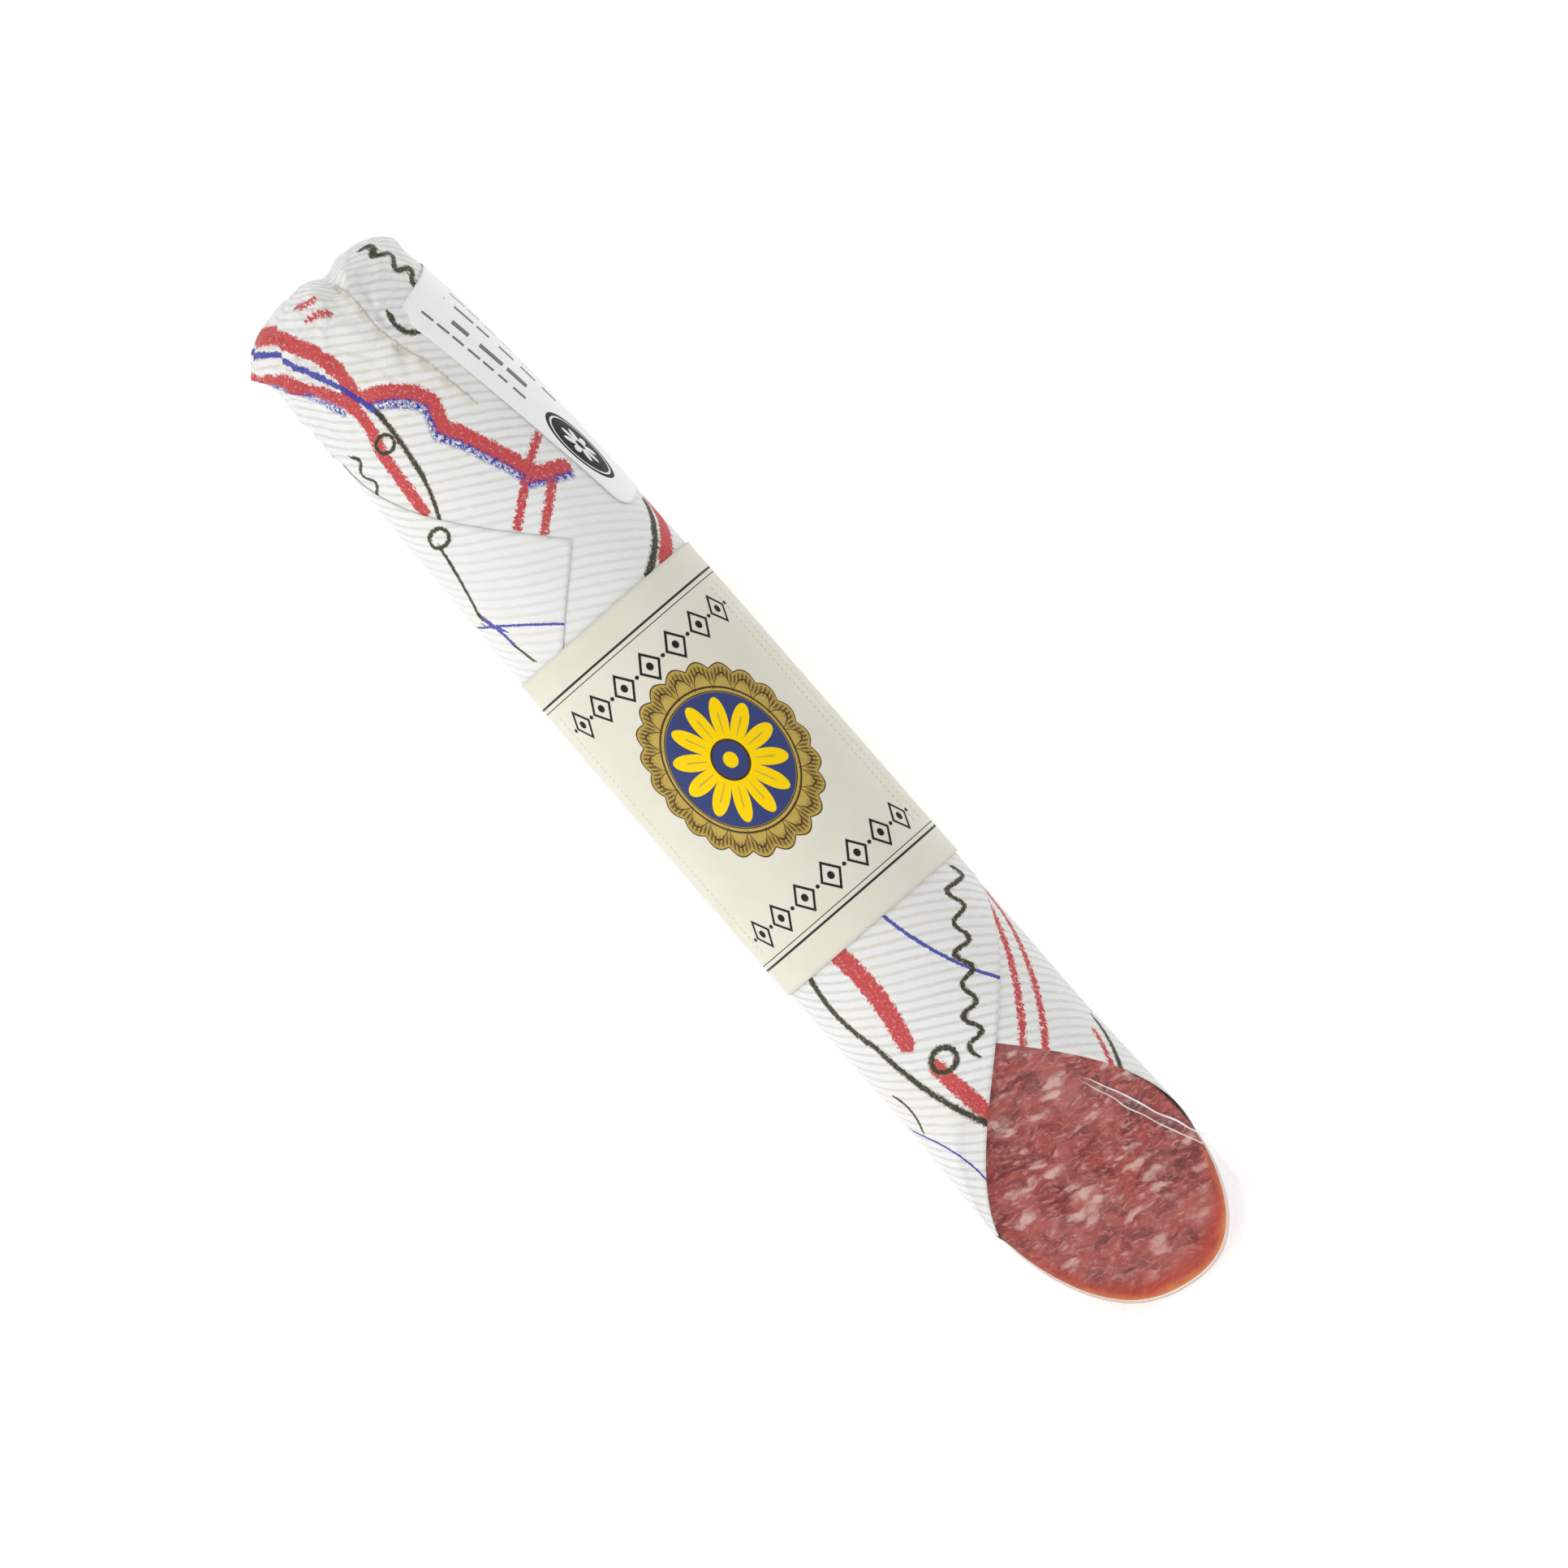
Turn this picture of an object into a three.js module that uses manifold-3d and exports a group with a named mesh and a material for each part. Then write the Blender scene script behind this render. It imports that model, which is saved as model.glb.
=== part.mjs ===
// A cured sausage cut on a slant, shrunk into clear film, rolled diagonally in a
// nearly square sheet of printed paper, and held by a paper band label with a sticker beside it.
//
// Millimetres. X runs along the sausage from its closed, wrapped end to the tip of the
// slanted cut, Z is up, and the whole thing lies on a narrow flat along its underside.
// Every layer is described by its station along X and its angle round the axis, counted
// from the top towards +Y, so that the layers nest with the same facets.

import * as THREE from 'three';
import Module from 'manifold-3d';

// Sausage
const sausageLength = 340;        // closed end to the tip of the slanted cut
const sausageRadius = 27;         // along the middle
const closedEndNarrowing = 7;     // how much thinner the body grows towards the closed end
const narrowingLength = 38;       // over which most of that narrowing fades
const cutEndSwell = 1;            // how much fatter the body is at the cut
const swellLength = 45;           // over which that swelling comes in
const closedEndDome = 8;          // length of the blunt dome that closes the sausage
const cutRun = 1.48;              // travel of the cut along X for each millimetre of height
const cutSkew = 0.167;            // travel of the cut along X for each millimetre of Y

// Clear film
const filmWall = 0.2;
const filmGap = 0.2;              // between the meat and the film
const filmVentRadius = 2;         // opening left at the hidden end
const flapLength = 11;            // crumpled film past the tip of the cut
const flapWidth = 40;
const flapRootWidth = 12;
const flapThickness = 0.3;

// Paper sheet, rolled from its inner corner to its outer one
const paperWall = 0.2;
const paperGap = 0.2;             // between the film and the paper, and between turns
const sheetLength = 375;          // from the outer corner along the edge that bounds the notch
const sheetWidth = 380;           // from the same corner along the other edge
const outerCornerX = 95;          // where the last corner of the sheet ends
const outerCornerAngle = 13;      // degrees past the top
const sheetLean = 43;             // degrees between the notch edge and a hoop round the body
const turnsKept = 2.08;           // hidden inner turns beyond these are left out
const tongueSetback = 8;          // from the tip of the cut back to the end of the paper
const foldedEndDepth = 3;         // paper ahead of the sausage's closed end
const foldedWall = 0.9;           // the turns pressed together over the closed end
const foldedSleeve = 5;           // length over which the pressed turns join the loose ones

// Band label and sticker
const labelStart = 114.5;
const labelLength = 105;
const labelWall = 0.2;
const labelGap = 0.25;
const stickerLength = 78;
const stickerWidth = 46;
const stickerCornerRadius = 5;
const stickerStartX = 21.5;       // the sticker corner nearest the top of the closed end
const stickerStartAngle = 25;
const stickerTilt = 10;           // degrees between its long edge and the axis
const stickerGap = 0.3;

// Facets
const facets = 20;                // round the body; the underside is a flat two facets wide
const facetAngle = 2 * Math.PI / facets;
const ringAngles = Array.from({ length: facets }, (_, index) => index * facetAngle);
const bottomFlat = Math.cos(facetAngle);
const domeSteps = 4;
const radians = Math.PI / 180;

const sausageStart = foldedEndDepth;
const tipX = sausageStart + sausageLength;
const cutRadius = sausageRadius + cutEndSwell;
const cutCentre = tipX - cutRadius * (cutRun * bottomFlat + cutSkew * Math.sin(facetAngle));
const cutTop = cutCentre - cutRun * cutRadius;
const cutSpread = Math.hypot(1, cutRun, cutSkew);

// The rolled sheet starts outside the film and grows by one pitch with each turn
const filmOutside = filmGap + filmWall;
const turnsPitch = paperWall + paperGap;
const rollStart = outerCornerAngle * radians - turnsKept * 2 * Math.PI;
const rollOutside = rollOffset(outerCornerAngle * radians) + paperWall;
const foldedJoin = sausageStart + closedEndDome;

// Stations between which the body and its layers run straight, closest where it narrows
const narrowingSteps = [6, 14, 26, 44, 70];
const swellSteps = 3;
const stations = narrowingSteps.map((step) => sausageStart + step);
stations.push(outerCornerX + 10, labelStart + labelLength / 2, labelStart + labelLength + 5);
for (let step = 0; step <= swellSteps; step += 1) {
  stations.push(cutTop + swellLength * step / swellSteps);
}
stations.push(tipX + flapLength);
stations.sort((first, second) => first - second);

function smoothRadius(x) {
  const narrowing = closedEndNarrowing * Math.exp(-(x - sausageStart) / narrowingLength);
  const rise = THREE.MathUtils.smoothstep(x, cutTop, cutTop + swellLength);
  return sausageRadius - narrowing + cutEndSwell * rise;
}

// Body radius, straight between the stations
function bodyRadius(x) {
  let next = stations.findIndex((station) => station > x);
  next = next < 0 ? stations.length - 1 : Math.max(next, 1);
  const low = stations[next - 1];
  const share = (x - low) / (stations[next] - low);
  return THREE.MathUtils.lerp(smoothRadius(low), smoothRadius(stations[next]), share);
}

// A point on the faceted surface that stands `offset` outside the body; `scale` shrinks a ring
function surfacePoint(x, angle, offset, scale = 1) {
  const facet = Math.floor(angle / facetAngle + 1e-6);
  const share = angle / facetAngle - facet;
  const radius = (bodyRadius(x) + offset) * scale;
  const corner = (index) => {
    const turn = index * facetAngle;
    return [radius * Math.sin(turn), radius * Math.max(Math.cos(turn), -bottomFlat)];
  };
  const [y0, z0] = corner(facet);
  const [y1, z1] = corner(facet + 1);
  const axisHeight = bodyRadius(x) * bottomFlat;
  const z = axisHeight + THREE.MathUtils.lerp(z0, z1, share);
  return new THREE.Vector3(x, THREE.MathUtils.lerp(y0, y1, share), z);
}

function geometryFrom(points, triangles) {
  const geometry = new THREE.BufferGeometry();
  const positions = points.flatMap((point) => [point.x, point.y, point.z]);
  geometry.setAttribute('position', new THREE.Float32BufferAttribute(positions, 3));
  geometry.setIndex(triangles.flat());
  return geometry;
}

// Closed body through rings of points, with a centre point closing each end
function bodyFromRings(rings, startCentre, endCentre) {
  const count = rings[0].length;
  const points = [...rings.flat(), startCentre, endCentre];
  const triangles = [];
  const last = rings.length - 1;
  for (let side = 0; side < count; side += 1) {
    const next = (side + 1) % count;
    for (let ring = 0; ring < last; ring += 1) {
      const here = ring * count;
      const ahead = here + count;
      triangles.push([here + side, ahead + side, ahead + next]);
      triangles.push([here + side, ahead + next, here + next]);
    }
    triangles.push([points.length - 2, side, next]);
    triangles.push([points.length - 1, last * count + next, last * count + side]);
  }
  return geometryFrom(points, triangles);
}

// X of the cut, moved out by `offset` along its normal
function cutX(y, z, offset) {
  const height = z - cutRadius * bottomFlat;
  return cutCentre + cutSkew * y - cutRun * height + offset * cutSpread;
}

// The sausage's own shape, grown by `offset` on every side
function slantedBody(offset) {
  const rings = [];
  for (let step = 0; step < domeSteps; step += 1) {
    const swing = (0.3 + 0.7 * step / domeSteps) * Math.PI / 2;
    const x = sausageStart + closedEndDome * (1 - Math.cos(swing));
    const grown = x - offset * Math.cos(swing);
    rings.push(ringAngles.map((angle) => surfacePoint(x, angle, offset, Math.sin(swing)).setX(grown)));
  }
  const domeEnd = sausageStart + closedEndDome;
  const straight = stations.filter((station) => station > domeEnd && station < cutTop - 1);
  for (const x of [domeEnd, ...straight]) {
    rings.push(ringAngles.map((angle) => surfacePoint(x, angle, offset)));
  }
  // Each side line runs through its own stations until it meets the cut
  const slanted = stations.filter((station) => station >= cutTop - 1 && station < tipX);
  for (let step = 0; step <= slanted.length; step += 1) {
    rings.push(ringAngles.map((angle) => {
      const rim = rimPoint(angle, offset);
      const start = surfacePoint(straight.at(-1), angle, offset);
      const x = THREE.MathUtils.lerp(start.x, rim.x, (step + 1) / (slanted.length + 1));
      return step === slanted.length ? rim : surfacePoint(x, angle, offset);
    }));
  }
  const axis = cutRadius * bottomFlat;
  const first = new THREE.Vector3(sausageStart - offset, 0, bodyRadius(sausageStart) * bottomFlat);
  return bodyFromRings(rings, first, new THREE.Vector3(cutX(0, axis, offset), 0, axis));
}

// Where a side line of the grown body meets the cut
function rimPoint(angle, offset) {
  let x = cutCentre;
  for (let pass = 0; pass < 12; pass += 1) {
    const point = surfacePoint(x, angle, offset);
    x = cutX(point.y, point.z, offset);
  }
  return surfacePoint(x, angle, offset);
}

// The part of a convex outline on the side of a line where distance(point) is positive
function clip(outline, distance) {
  const kept = [];
  outline.forEach((point, index) => {
    const next = outline[(index + 1) % outline.length];
    const here = distance(point);
    const there = distance(next);
    if (here >= 0) kept.push(point);
    if ((here > 0 && there < 0) || (here < 0 && there > 0)) {
      kept.push(point.clone().lerp(next, here / (here - there)));
    }
  });
  return kept;
}

// A thin closed sheet: a convex outline in station and angle, laid on the body's facets
function sheetSolid(outline, innerOffset, wall) {
  const points = [];
  const known = new Map();
  const triangles = [];
  const edges = new Map();
  const indexOf = (spot) => {
    const key = `${Math.round(spot.x * 1e4)} ${Math.round(spot.y * 1e5)}`;
    if (!known.has(key)) {
      known.set(key, points.length);
      points.push(surfacePoint(spot.x, spot.y, innerOffset(spot.y)));
      points.push(surfacePoint(spot.x, spot.y, innerOffset(spot.y) + wall));
    }
    return known.get(key);
  };
  const angles = outline.map((spot) => spot.y);
  const firstFacet = Math.floor(Math.min(...angles) / facetAngle);
  const lastFacet = Math.ceil(Math.max(...angles) / facetAngle);
  const bounds = [-Infinity, ...stations.slice(1, -1), Infinity];
  for (let facet = firstFacet; facet < lastFacet; facet += 1) {
    const above = clip(outline, (spot) => spot.y - facet * facetAngle);
    const strip = clip(above, (spot) => (facet + 1) * facetAngle - spot.y);
    for (let span = 0; span + 1 < bounds.length; span += 1) {
      const low = bounds[span];
      const high = bounds[span + 1];
      const started = low === -Infinity ? strip : clip(strip, (spot) => spot.x - low);
      const cell = high === Infinity ? started : clip(started, (spot) => high - spot.x);
      const corners = cell.map(indexOf).filter((id, index, all) => id !== all.at(index - 1));
      for (let corner = 1; corner + 1 < corners.length; corner += 1) {
        const [a, b, c] = [corners[0], corners[corner], corners[corner + 1]];
        triangles.push([a + 1, b + 1, c + 1], [a, c, b]);
        for (const [from, to] of [[a, b], [b, c], [c, a]]) {
          const back = `${to} ${from}`;
          if (edges.has(back)) edges.delete(back);
          else edges.set(`${from} ${to}`, [from, to]);
        }
      }
    }
  }
  for (const [from, to] of edges.values()) {
    triangles.push([from, to, to + 1], [from, to + 1, from + 1]);
  }
  return geometryFrom(points, triangles);
}

const wasm = await Module();
wasm.setup();

function toSolid(geometry) {
  const vertProperties = geometry.getAttribute('position').array;
  const triVerts = Uint32Array.from(geometry.index.array);
  return new wasm.Manifold(new wasm.Mesh({ numProp: 3, vertProperties, triVerts }));
}

function fromSolid(solid) {
  const mesh = solid.getMesh();
  const geometry = new THREE.BufferGeometry();
  geometry.setAttribute('position', new THREE.BufferAttribute(mesh.vertProperties, 3));
  geometry.setIndex(new THREE.BufferAttribute(mesh.triVerts, 1));
  return geometry;
}

// A short cylinder along X with its vertices shared, for cutting
function rodAlongX(radius, fromX, toX, height) {
  const sides = 8;
  const ring = (x) => Array.from({ length: sides }, (_, side) => {
    const turn = side * 2 * Math.PI / sides;
    return new THREE.Vector3(x, radius * Math.sin(turn), height + radius * Math.cos(turn));
  });
  const centre = (x) => new THREE.Vector3(x, 0, height);
  return bodyFromRings([ring(fromX), ring(toX)], centre(fromX), centre(toX));
}

// A flat plate with the given outline in X and Y
function plate(outline, bottom, thickness) {
  const count = outline.length;
  const level = (z) => outline.map(([x, y]) => new THREE.Vector3(x, y, z));
  const triangles = [];
  for (let side = 0; side < count; side += 1) {
    const next = (side + 1) % count;
    triangles.push([side, next, count + next], [side, count + next, count + side]);
    if (side > 0 && next > 0) {
      triangles.push([0, next, side], [count, count + side, count + next]);
    }
  }
  return geometryFrom([...level(bottom), ...level(bottom + thickness)], triangles);
}

function makeFilm() {
  const outer = toSolid(slantedBody(filmOutside));
  const inner = toSolid(slantedBody(filmGap));
  const bottom = -filmOutside * bottomFlat;
  const outline = [[tipX - 5, -flapRootWidth / 2], [tipX + 2, -flapWidth / 2]];
  outline.push([tipX + flapLength, -flapWidth / 3], [tipX + flapLength, flapWidth / 3]);
  outline.push([tipX + 2, flapWidth / 2], [tipX - 5, flapRootWidth / 2]);
  const flap = toSolid(plate(outline, bottom, flapThickness));
  const height = bodyRadius(sausageStart) * bottomFlat;
  const vent = toSolid(rodAlongX(filmVentRadius, sausageStart - 3, sausageStart + 3, height));
  return fromSolid(outer.add(flap).subtract(inner).subtract(vent));
}

// Offset of the rolled sheet's inner face
function rollOffset(angle) {
  return filmOutside + paperGap + turnsPitch * (angle - rollStart) / (2 * Math.PI);
}

// The sheet as it is cut, with arc length turned into angle, less what is hidden
function sheetOutline() {
  const reference = sausageRadius + rollOffset(outerCornerAngle * radians);
  const lean = sheetLean * radians;
  const corner = (towardsCut, towardsEnd) => new THREE.Vector2(
    outerCornerX + Math.sin(lean) * towardsCut - Math.cos(lean) * towardsEnd,
    outerCornerAngle * radians
      - (Math.cos(lean) * towardsCut + Math.sin(lean) * towardsEnd) / reference);
  const full = [corner(0, 0), corner(0, sheetWidth), corner(sheetLength, sheetWidth)];
  full.push(corner(sheetLength, 0));
  const started = clip(full, (spot) => spot.y - rollStart);
  const joined = clip(started, (spot) => spot.x - foldedJoin);
  return clip(joined, (spot) => tipX - tongueSetback - spot.x);
}

// The pressed turns over the closed end: a blunt dome that grips the loose turns
function foldedEnd(offset, depth) {
  const rings = [];
  const domeFrom = foldedJoin - 1;
  for (let step = 0; step <= domeSteps; step += 1) {
    const swing = (0.25 + 0.75 * step / domeSteps) * Math.PI / 2;
    const x = domeFrom - (domeFrom - depth) * Math.cos(swing);
    rings.push(ringAngles.map((angle) => surfacePoint(x, angle, offset, Math.sin(swing))));
  }
  rings.push(ringAngles.map((angle) => surfacePoint(foldedJoin + foldedSleeve, angle, offset)));
  const axis = (x) => new THREE.Vector3(x, 0, bodyRadius(x) * bottomFlat);
  return bodyFromRings(rings, axis(depth), axis(foldedJoin + foldedSleeve));
}

function makePaper() {
  const roll = toSolid(sheetSolid(sheetOutline(), rollOffset, paperWall));
  const inside = filmOutside + paperGap / 2;
  const outer = toSolid(foldedEnd(inside + foldedWall, 0));
  const inner = toSolid(foldedEnd(inside, foldedWall));
  const hollow = outer.subtract(inner).subtract(openMouth(inside));
  return fromSolid(roll.add(hollow));
}

// Clears the disc that closes the folded end's shell at its mouth
function openMouth(inside) {
  const from = foldedJoin + foldedSleeve - 1;
  const ring = (x, at) => ringAngles.map((angle) => surfacePoint(at, angle, inside).setX(x));
  const mouth = foldedJoin + foldedSleeve;
  const rings = [ring(from, from), ring(mouth + 1, mouth)];
  const axis = (x) => new THREE.Vector3(x, 0, bodyRadius(mouth) * bottomFlat);
  return toSolid(bodyFromRings(rings, axis(from), axis(mouth + 1)));
}

function makeLabel() {
  const labelOffset = rollOutside + labelGap;
  const middle = stations.filter((x) => x > labelStart && x < labelStart + labelLength);
  const along = [labelStart, ...middle, labelStart + labelLength];
  const tube = (offset, reach) => {
    const rings = along.map((x, index) => {
      const end = (index === along.length - 1) - (index === 0);
      return ringAngles.map((angle) => surfacePoint(x, angle, offset).setX(x + end * reach));
    });
    const axis = (x) => new THREE.Vector3(x, 0, sausageRadius * bottomFlat);
    return toSolid(bodyFromRings(rings, axis(along[0] - reach), axis(along.at(-1) + reach)));
  };
  return fromSolid(tube(labelOffset + labelWall, 0).subtract(tube(labelOffset, 1)));
}

// Rounded rectangle, tilted, with its long edge nearest the top of the body
function stickerOutline() {
  const reference = sausageRadius + rollOutside;
  const cornerSteps = 3;
  const outline = [];
  const turned = [[0, 0, 2], [1, 0, 3], [1, 1, 0], [0, 1, 1]];
  for (const [alongEnd, farSide, quarter] of turned) {
    const centreX = alongEnd ? stickerLength - stickerCornerRadius : stickerCornerRadius;
    const centreY = farSide ? stickerWidth - stickerCornerRadius : stickerCornerRadius;
    for (let step = 0; step <= cornerSteps; step += 1) {
      const turn = (quarter + step / cornerSteps) * Math.PI / 2;
      const spot = new THREE.Vector2(Math.cos(turn), Math.sin(turn));
      spot.multiplyScalar(stickerCornerRadius).add(new THREE.Vector2(centreX, centreY));
      spot.rotateAround(new THREE.Vector2(), stickerTilt * radians);
      const angle = stickerStartAngle * radians + spot.y / reference;
      outline.push(new THREE.Vector2(stickerStartX + spot.x, angle));
    }
  }
  return outline;
}

function makeSticker() {
  const clearance = stickerGap - paperGap;
  return sheetSolid(stickerOutline(), (angle) => rollOffset(angle) + clearance, paperWall);
}

function material(color, roughness) {
  return new THREE.MeshStandardMaterial({ color, roughness, metalness: 0 });
}

const clearFilm = material('#f2f4f3', 0.1);
clearFilm.transparent = true;
clearFilm.opacity = 0.3;

const pieces = [
  ['sausage', slantedBody(0), material('#9a5348', 0.45)],
  ['clear_film', makeFilm(), clearFilm],
  ['paper_wrap', makePaper(), material('#dfdfd8', 0.75)],
  ['band_label', makeLabel(), material('#dcd9c8', 0.5)],
  ['sticker', makeSticker(), material('#fafbfa', 0.4)],
];

const wrappedSausage = new THREE.Group();
for (const [name, geometry, finish] of pieces) {
  const mesh = new THREE.Mesh(geometry, finish);
  mesh.name = name;
  wrappedSausage.add(mesh);
}

// Origin under the middle of the whole object, on the surface it lies on
const extent = new THREE.Box3().setFromObject(wrappedSausage);
const middle = extent.getCenter(new THREE.Vector3());
wrappedSausage.position.set(-middle.x, -middle.y, -extent.min.z);

export default wrappedSausage;
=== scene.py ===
"""Looks for a cured sausage cut on a slant, in clear film, rolled in printed paper under a band label.

Shapes are worked out in millimetres along the body: x from the folded end of the paper, y across from
the axis, z up from the surface it lies on. Angles run round the axis from the top towards +Y.
"""

import math

import bpy
import numpy as np
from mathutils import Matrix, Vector


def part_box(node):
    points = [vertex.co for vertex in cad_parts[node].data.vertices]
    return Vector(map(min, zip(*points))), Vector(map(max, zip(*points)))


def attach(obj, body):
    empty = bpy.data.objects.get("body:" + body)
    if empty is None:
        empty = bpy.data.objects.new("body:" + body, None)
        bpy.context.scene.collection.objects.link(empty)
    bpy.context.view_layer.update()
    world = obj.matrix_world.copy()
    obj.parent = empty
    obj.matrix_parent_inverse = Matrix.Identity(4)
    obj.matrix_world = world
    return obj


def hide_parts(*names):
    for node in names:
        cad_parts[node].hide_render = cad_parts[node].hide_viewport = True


bl_info = {
    "name": "Wrapped Cured Sausage",
    "version": (1, 0, 0),
    "blender": (4, 5, 0),
    "location": "3D View > Sidebar > Sausage",
    "description": "Builds a cut cured sausage in clear film, printed paper, band label and sticker",
    "category": "Object",
}

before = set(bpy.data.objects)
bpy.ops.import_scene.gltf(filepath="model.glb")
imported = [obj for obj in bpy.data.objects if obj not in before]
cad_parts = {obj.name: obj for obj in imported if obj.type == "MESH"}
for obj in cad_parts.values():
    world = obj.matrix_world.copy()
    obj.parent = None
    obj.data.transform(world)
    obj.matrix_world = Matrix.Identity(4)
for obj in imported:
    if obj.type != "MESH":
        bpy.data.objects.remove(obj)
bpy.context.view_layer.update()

MM = 0.001
TAU = 2 * math.pi
BODY = "root"

meat_low, meat_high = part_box("sausage")
paper_low, paper_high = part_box("paper_wrap")
label_low, label_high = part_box("band_label")
film_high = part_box("clear_film")[1]

FOLD_X = paper_low.x
AXIS_Y = (label_low.y + label_high.y) / 2
LIFT = meat_low.z / MM
MEAT_START = (meat_low.x - FOLD_X) / MM
TIP_X = (meat_high.x - FOLD_X) / MM
FLAP_END = (film_high.x - FOLD_X) / MM
TONGUE_X = (paper_high.x - FOLD_X) / MM
LABEL_START = (label_low.x - FOLD_X) / MM
LABEL_END = (label_high.x - FOLD_X) / MM
LABEL_RADIUS = (label_high.y - label_low.y) / 2 / MM
FLAT = math.cos(math.radians(18))  # share of the radius from the axis down to the flat underside
BODY_RADIUS = (meat_high.z - meat_low.z) / MM / (1 + FLAT)
TIP_ROUNDING = 1.2  # mm by which the rounded underside would draw the tip back
HOOP_POINTS = 180
GRIP = 0.42  # mm by which the band label lies closer than its widest reach


# ---------------------------------------------------------------- settings


class SausageShape(bpy.types.PropertyGroup):
    narrowing: bpy.props.FloatProperty(
        name="Narrowing", description="How much thinner the closed end is, in mm", default=7.0)
    narrowing_length: bpy.props.FloatProperty(
        name="Narrowing length", description="Over which the narrowing fades, in mm", default=38.0)
    swell: bpy.props.FloatProperty(
        name="Cut end swell", description="How much fatter the cut end is, in mm", default=1.0)
    swell_length: bpy.props.FloatProperty(
        name="Swell length", description="Over which the swelling comes in, in mm", default=45.0)
    dome: bpy.props.FloatProperty(
        name="Closed dome", description="Length of the dome at the closed end, in mm", default=8.0)
    cut_run: bpy.props.FloatProperty(
        name="Cut run", description="Travel of the cut along X for each mm of height", default=1.48)
    cut_skew: bpy.props.FloatProperty(
        name="Cut skew", description="Travel of the cut along X for each mm of Y", default=0.167)
    lean_color: bpy.props.FloatVectorProperty(
        name="Lean meat", description="Colour of the lean", subtype="COLOR",
        default=(0.50, 0.102, 0.082))
    fat_color: bpy.props.FloatVectorProperty(
        name="Fat", description="Colour of the fat", subtype="COLOR", default=(0.84, 0.57, 0.52))
    # Painted light: the rim colour is an orange glow painted along the lower rim of the cut, as light
    # shining through its thin edge.
    rim_color: bpy.props.FloatVectorProperty(
        name="Glowing rim", description="Colour of the dried rim", subtype="COLOR",
        default=(0.85, 0.33, 0.11))


class SausageWrapping(bpy.types.PropertyGroup):
    film_offset: bpy.props.FloatProperty(
        name="Film offset", description="Film's distance from the meat, in mm", default=0.3)
    roll_offset: bpy.props.FloatProperty(
        name="Paper offset", description="Distance of the innermost turn from the meat, in mm",
        default=0.6)
    pitch: bpy.props.FloatProperty(
        name="Turn pitch", description="How far each turn of paper lies outside the last, in mm",
        default=0.3)
    wall: bpy.props.FloatProperty(
        name="Paper wall", description="Thickness of the paper, in mm", default=0.12)
    sheet_length: bpy.props.FloatProperty(
        name="Sheet length", description="From the outer corner to the notch's far edge, in mm",
        default=376.0)
    sheet_width: bpy.props.FloatProperty(
        name="Sheet width", description="Across the sheet from the same corner, in mm", default=380.0)
    corner_x: bpy.props.FloatProperty(
        name="Corner station", description="Where the outer corner ends along X, in mm", default=95.0)
    corner_angle: bpy.props.FloatProperty(
        name="Corner angle", description="Outer corner's place past the top", subtype="ANGLE",
        default=math.radians(13))
    lean: bpy.props.FloatProperty(
        name="Sheet lean", description="Angle between the notch edge and a hoop", subtype="ANGLE",
        default=math.radians(43))
    rib_pitch: bpy.props.FloatProperty(
        name="Rib pitch", description="Distance between the paper's printed ribs, in mm", default=2.64)
    rib_lean: bpy.props.FloatProperty(
        name="Rib lean", description="Angle between the ribs and the axis", subtype="ANGLE",
        default=math.radians(62))
    paper_color: bpy.props.FloatVectorProperty(
        name="Paper", description="Colour of the paper", subtype="COLOR", default=(0.83, 0.84, 0.84))
    rib_color: bpy.props.FloatVectorProperty(
        name="Ribs", description="Colour of the printed ribs", subtype="COLOR",
        default=(0.66, 0.62, 0.50))
    red_color: bpy.props.FloatVectorProperty(
        name="Red crayon", description="Colour of the red strokes", subtype="COLOR",
        default=(0.55, 0.045, 0.05))
    blue_color: bpy.props.FloatVectorProperty(
        name="Blue crayon", description="Colour of the blue strokes", subtype="COLOR",
        default=(0.035, 0.045, 0.36))
    ink_color: bpy.props.FloatVectorProperty(
        name="Pen", description="Colour of the pen strokes", subtype="COLOR",
        default=(0.035, 0.035, 0.025))


class SausageLabel(bpy.types.PropertyGroup):
    wall: bpy.props.FloatProperty(
        name="Label wall", description="Thickness of the label, in mm", default=0.15)
    rule: bpy.props.FloatProperty(
        name="Rule distance", description="From the label's middle to each thick rule, in mm",
        default=44.0)
    rosette_length: bpy.props.FloatProperty(
        name="Rosette length", description="Size of the rosette along X, in mm", default=55.0)
    rosette_width: bpy.props.FloatProperty(
        name="Rosette width", description="Size of the rosette round the body, in mm", default=46.0)
    label_color: bpy.props.FloatVectorProperty(
        name="Label paper", description="Colour of the label", subtype="COLOR",
        default=(0.78, 0.76, 0.66))
    gold_color: bpy.props.FloatVectorProperty(
        name="Gold ink", description="Colour of the rosette's rim", subtype="COLOR",
        default=(0.44, 0.32, 0.075))
    brown_color: bpy.props.FloatVectorProperty(
        name="Brown ink", description="Colour of the rim's lines", subtype="COLOR",
        default=(0.075, 0.035, 0.015))
    yellow_color: bpy.props.FloatVectorProperty(
        name="Yellow ink", description="Colour of the petals", subtype="COLOR",
        default=(1.0, 0.68, 0.0))
    blue_color: bpy.props.FloatVectorProperty(
        name="Blue ink", description="Colour of the rosette's field", subtype="COLOR",
        default=(0.042, 0.062, 0.19))
    sticker_length: bpy.props.FloatProperty(
        name="Sticker length", description="Length of the sticker, in mm", default=78.0)
    sticker_width: bpy.props.FloatProperty(
        name="Sticker width", description="Width of the sticker, in mm", default=46.0)
    sticker_tilt: bpy.props.FloatProperty(
        name="Sticker tilt", description="Angle between the sticker and the axis", subtype="ANGLE",
        default=math.radians(10))


# ---------------------------------------------------------------- body shape


def shape():
    return bpy.context.scene.sausage_shape


def wrapping():
    return bpy.context.scene.sausage_wrapping


def printing():
    return bpy.context.scene.sausage_label


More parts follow.
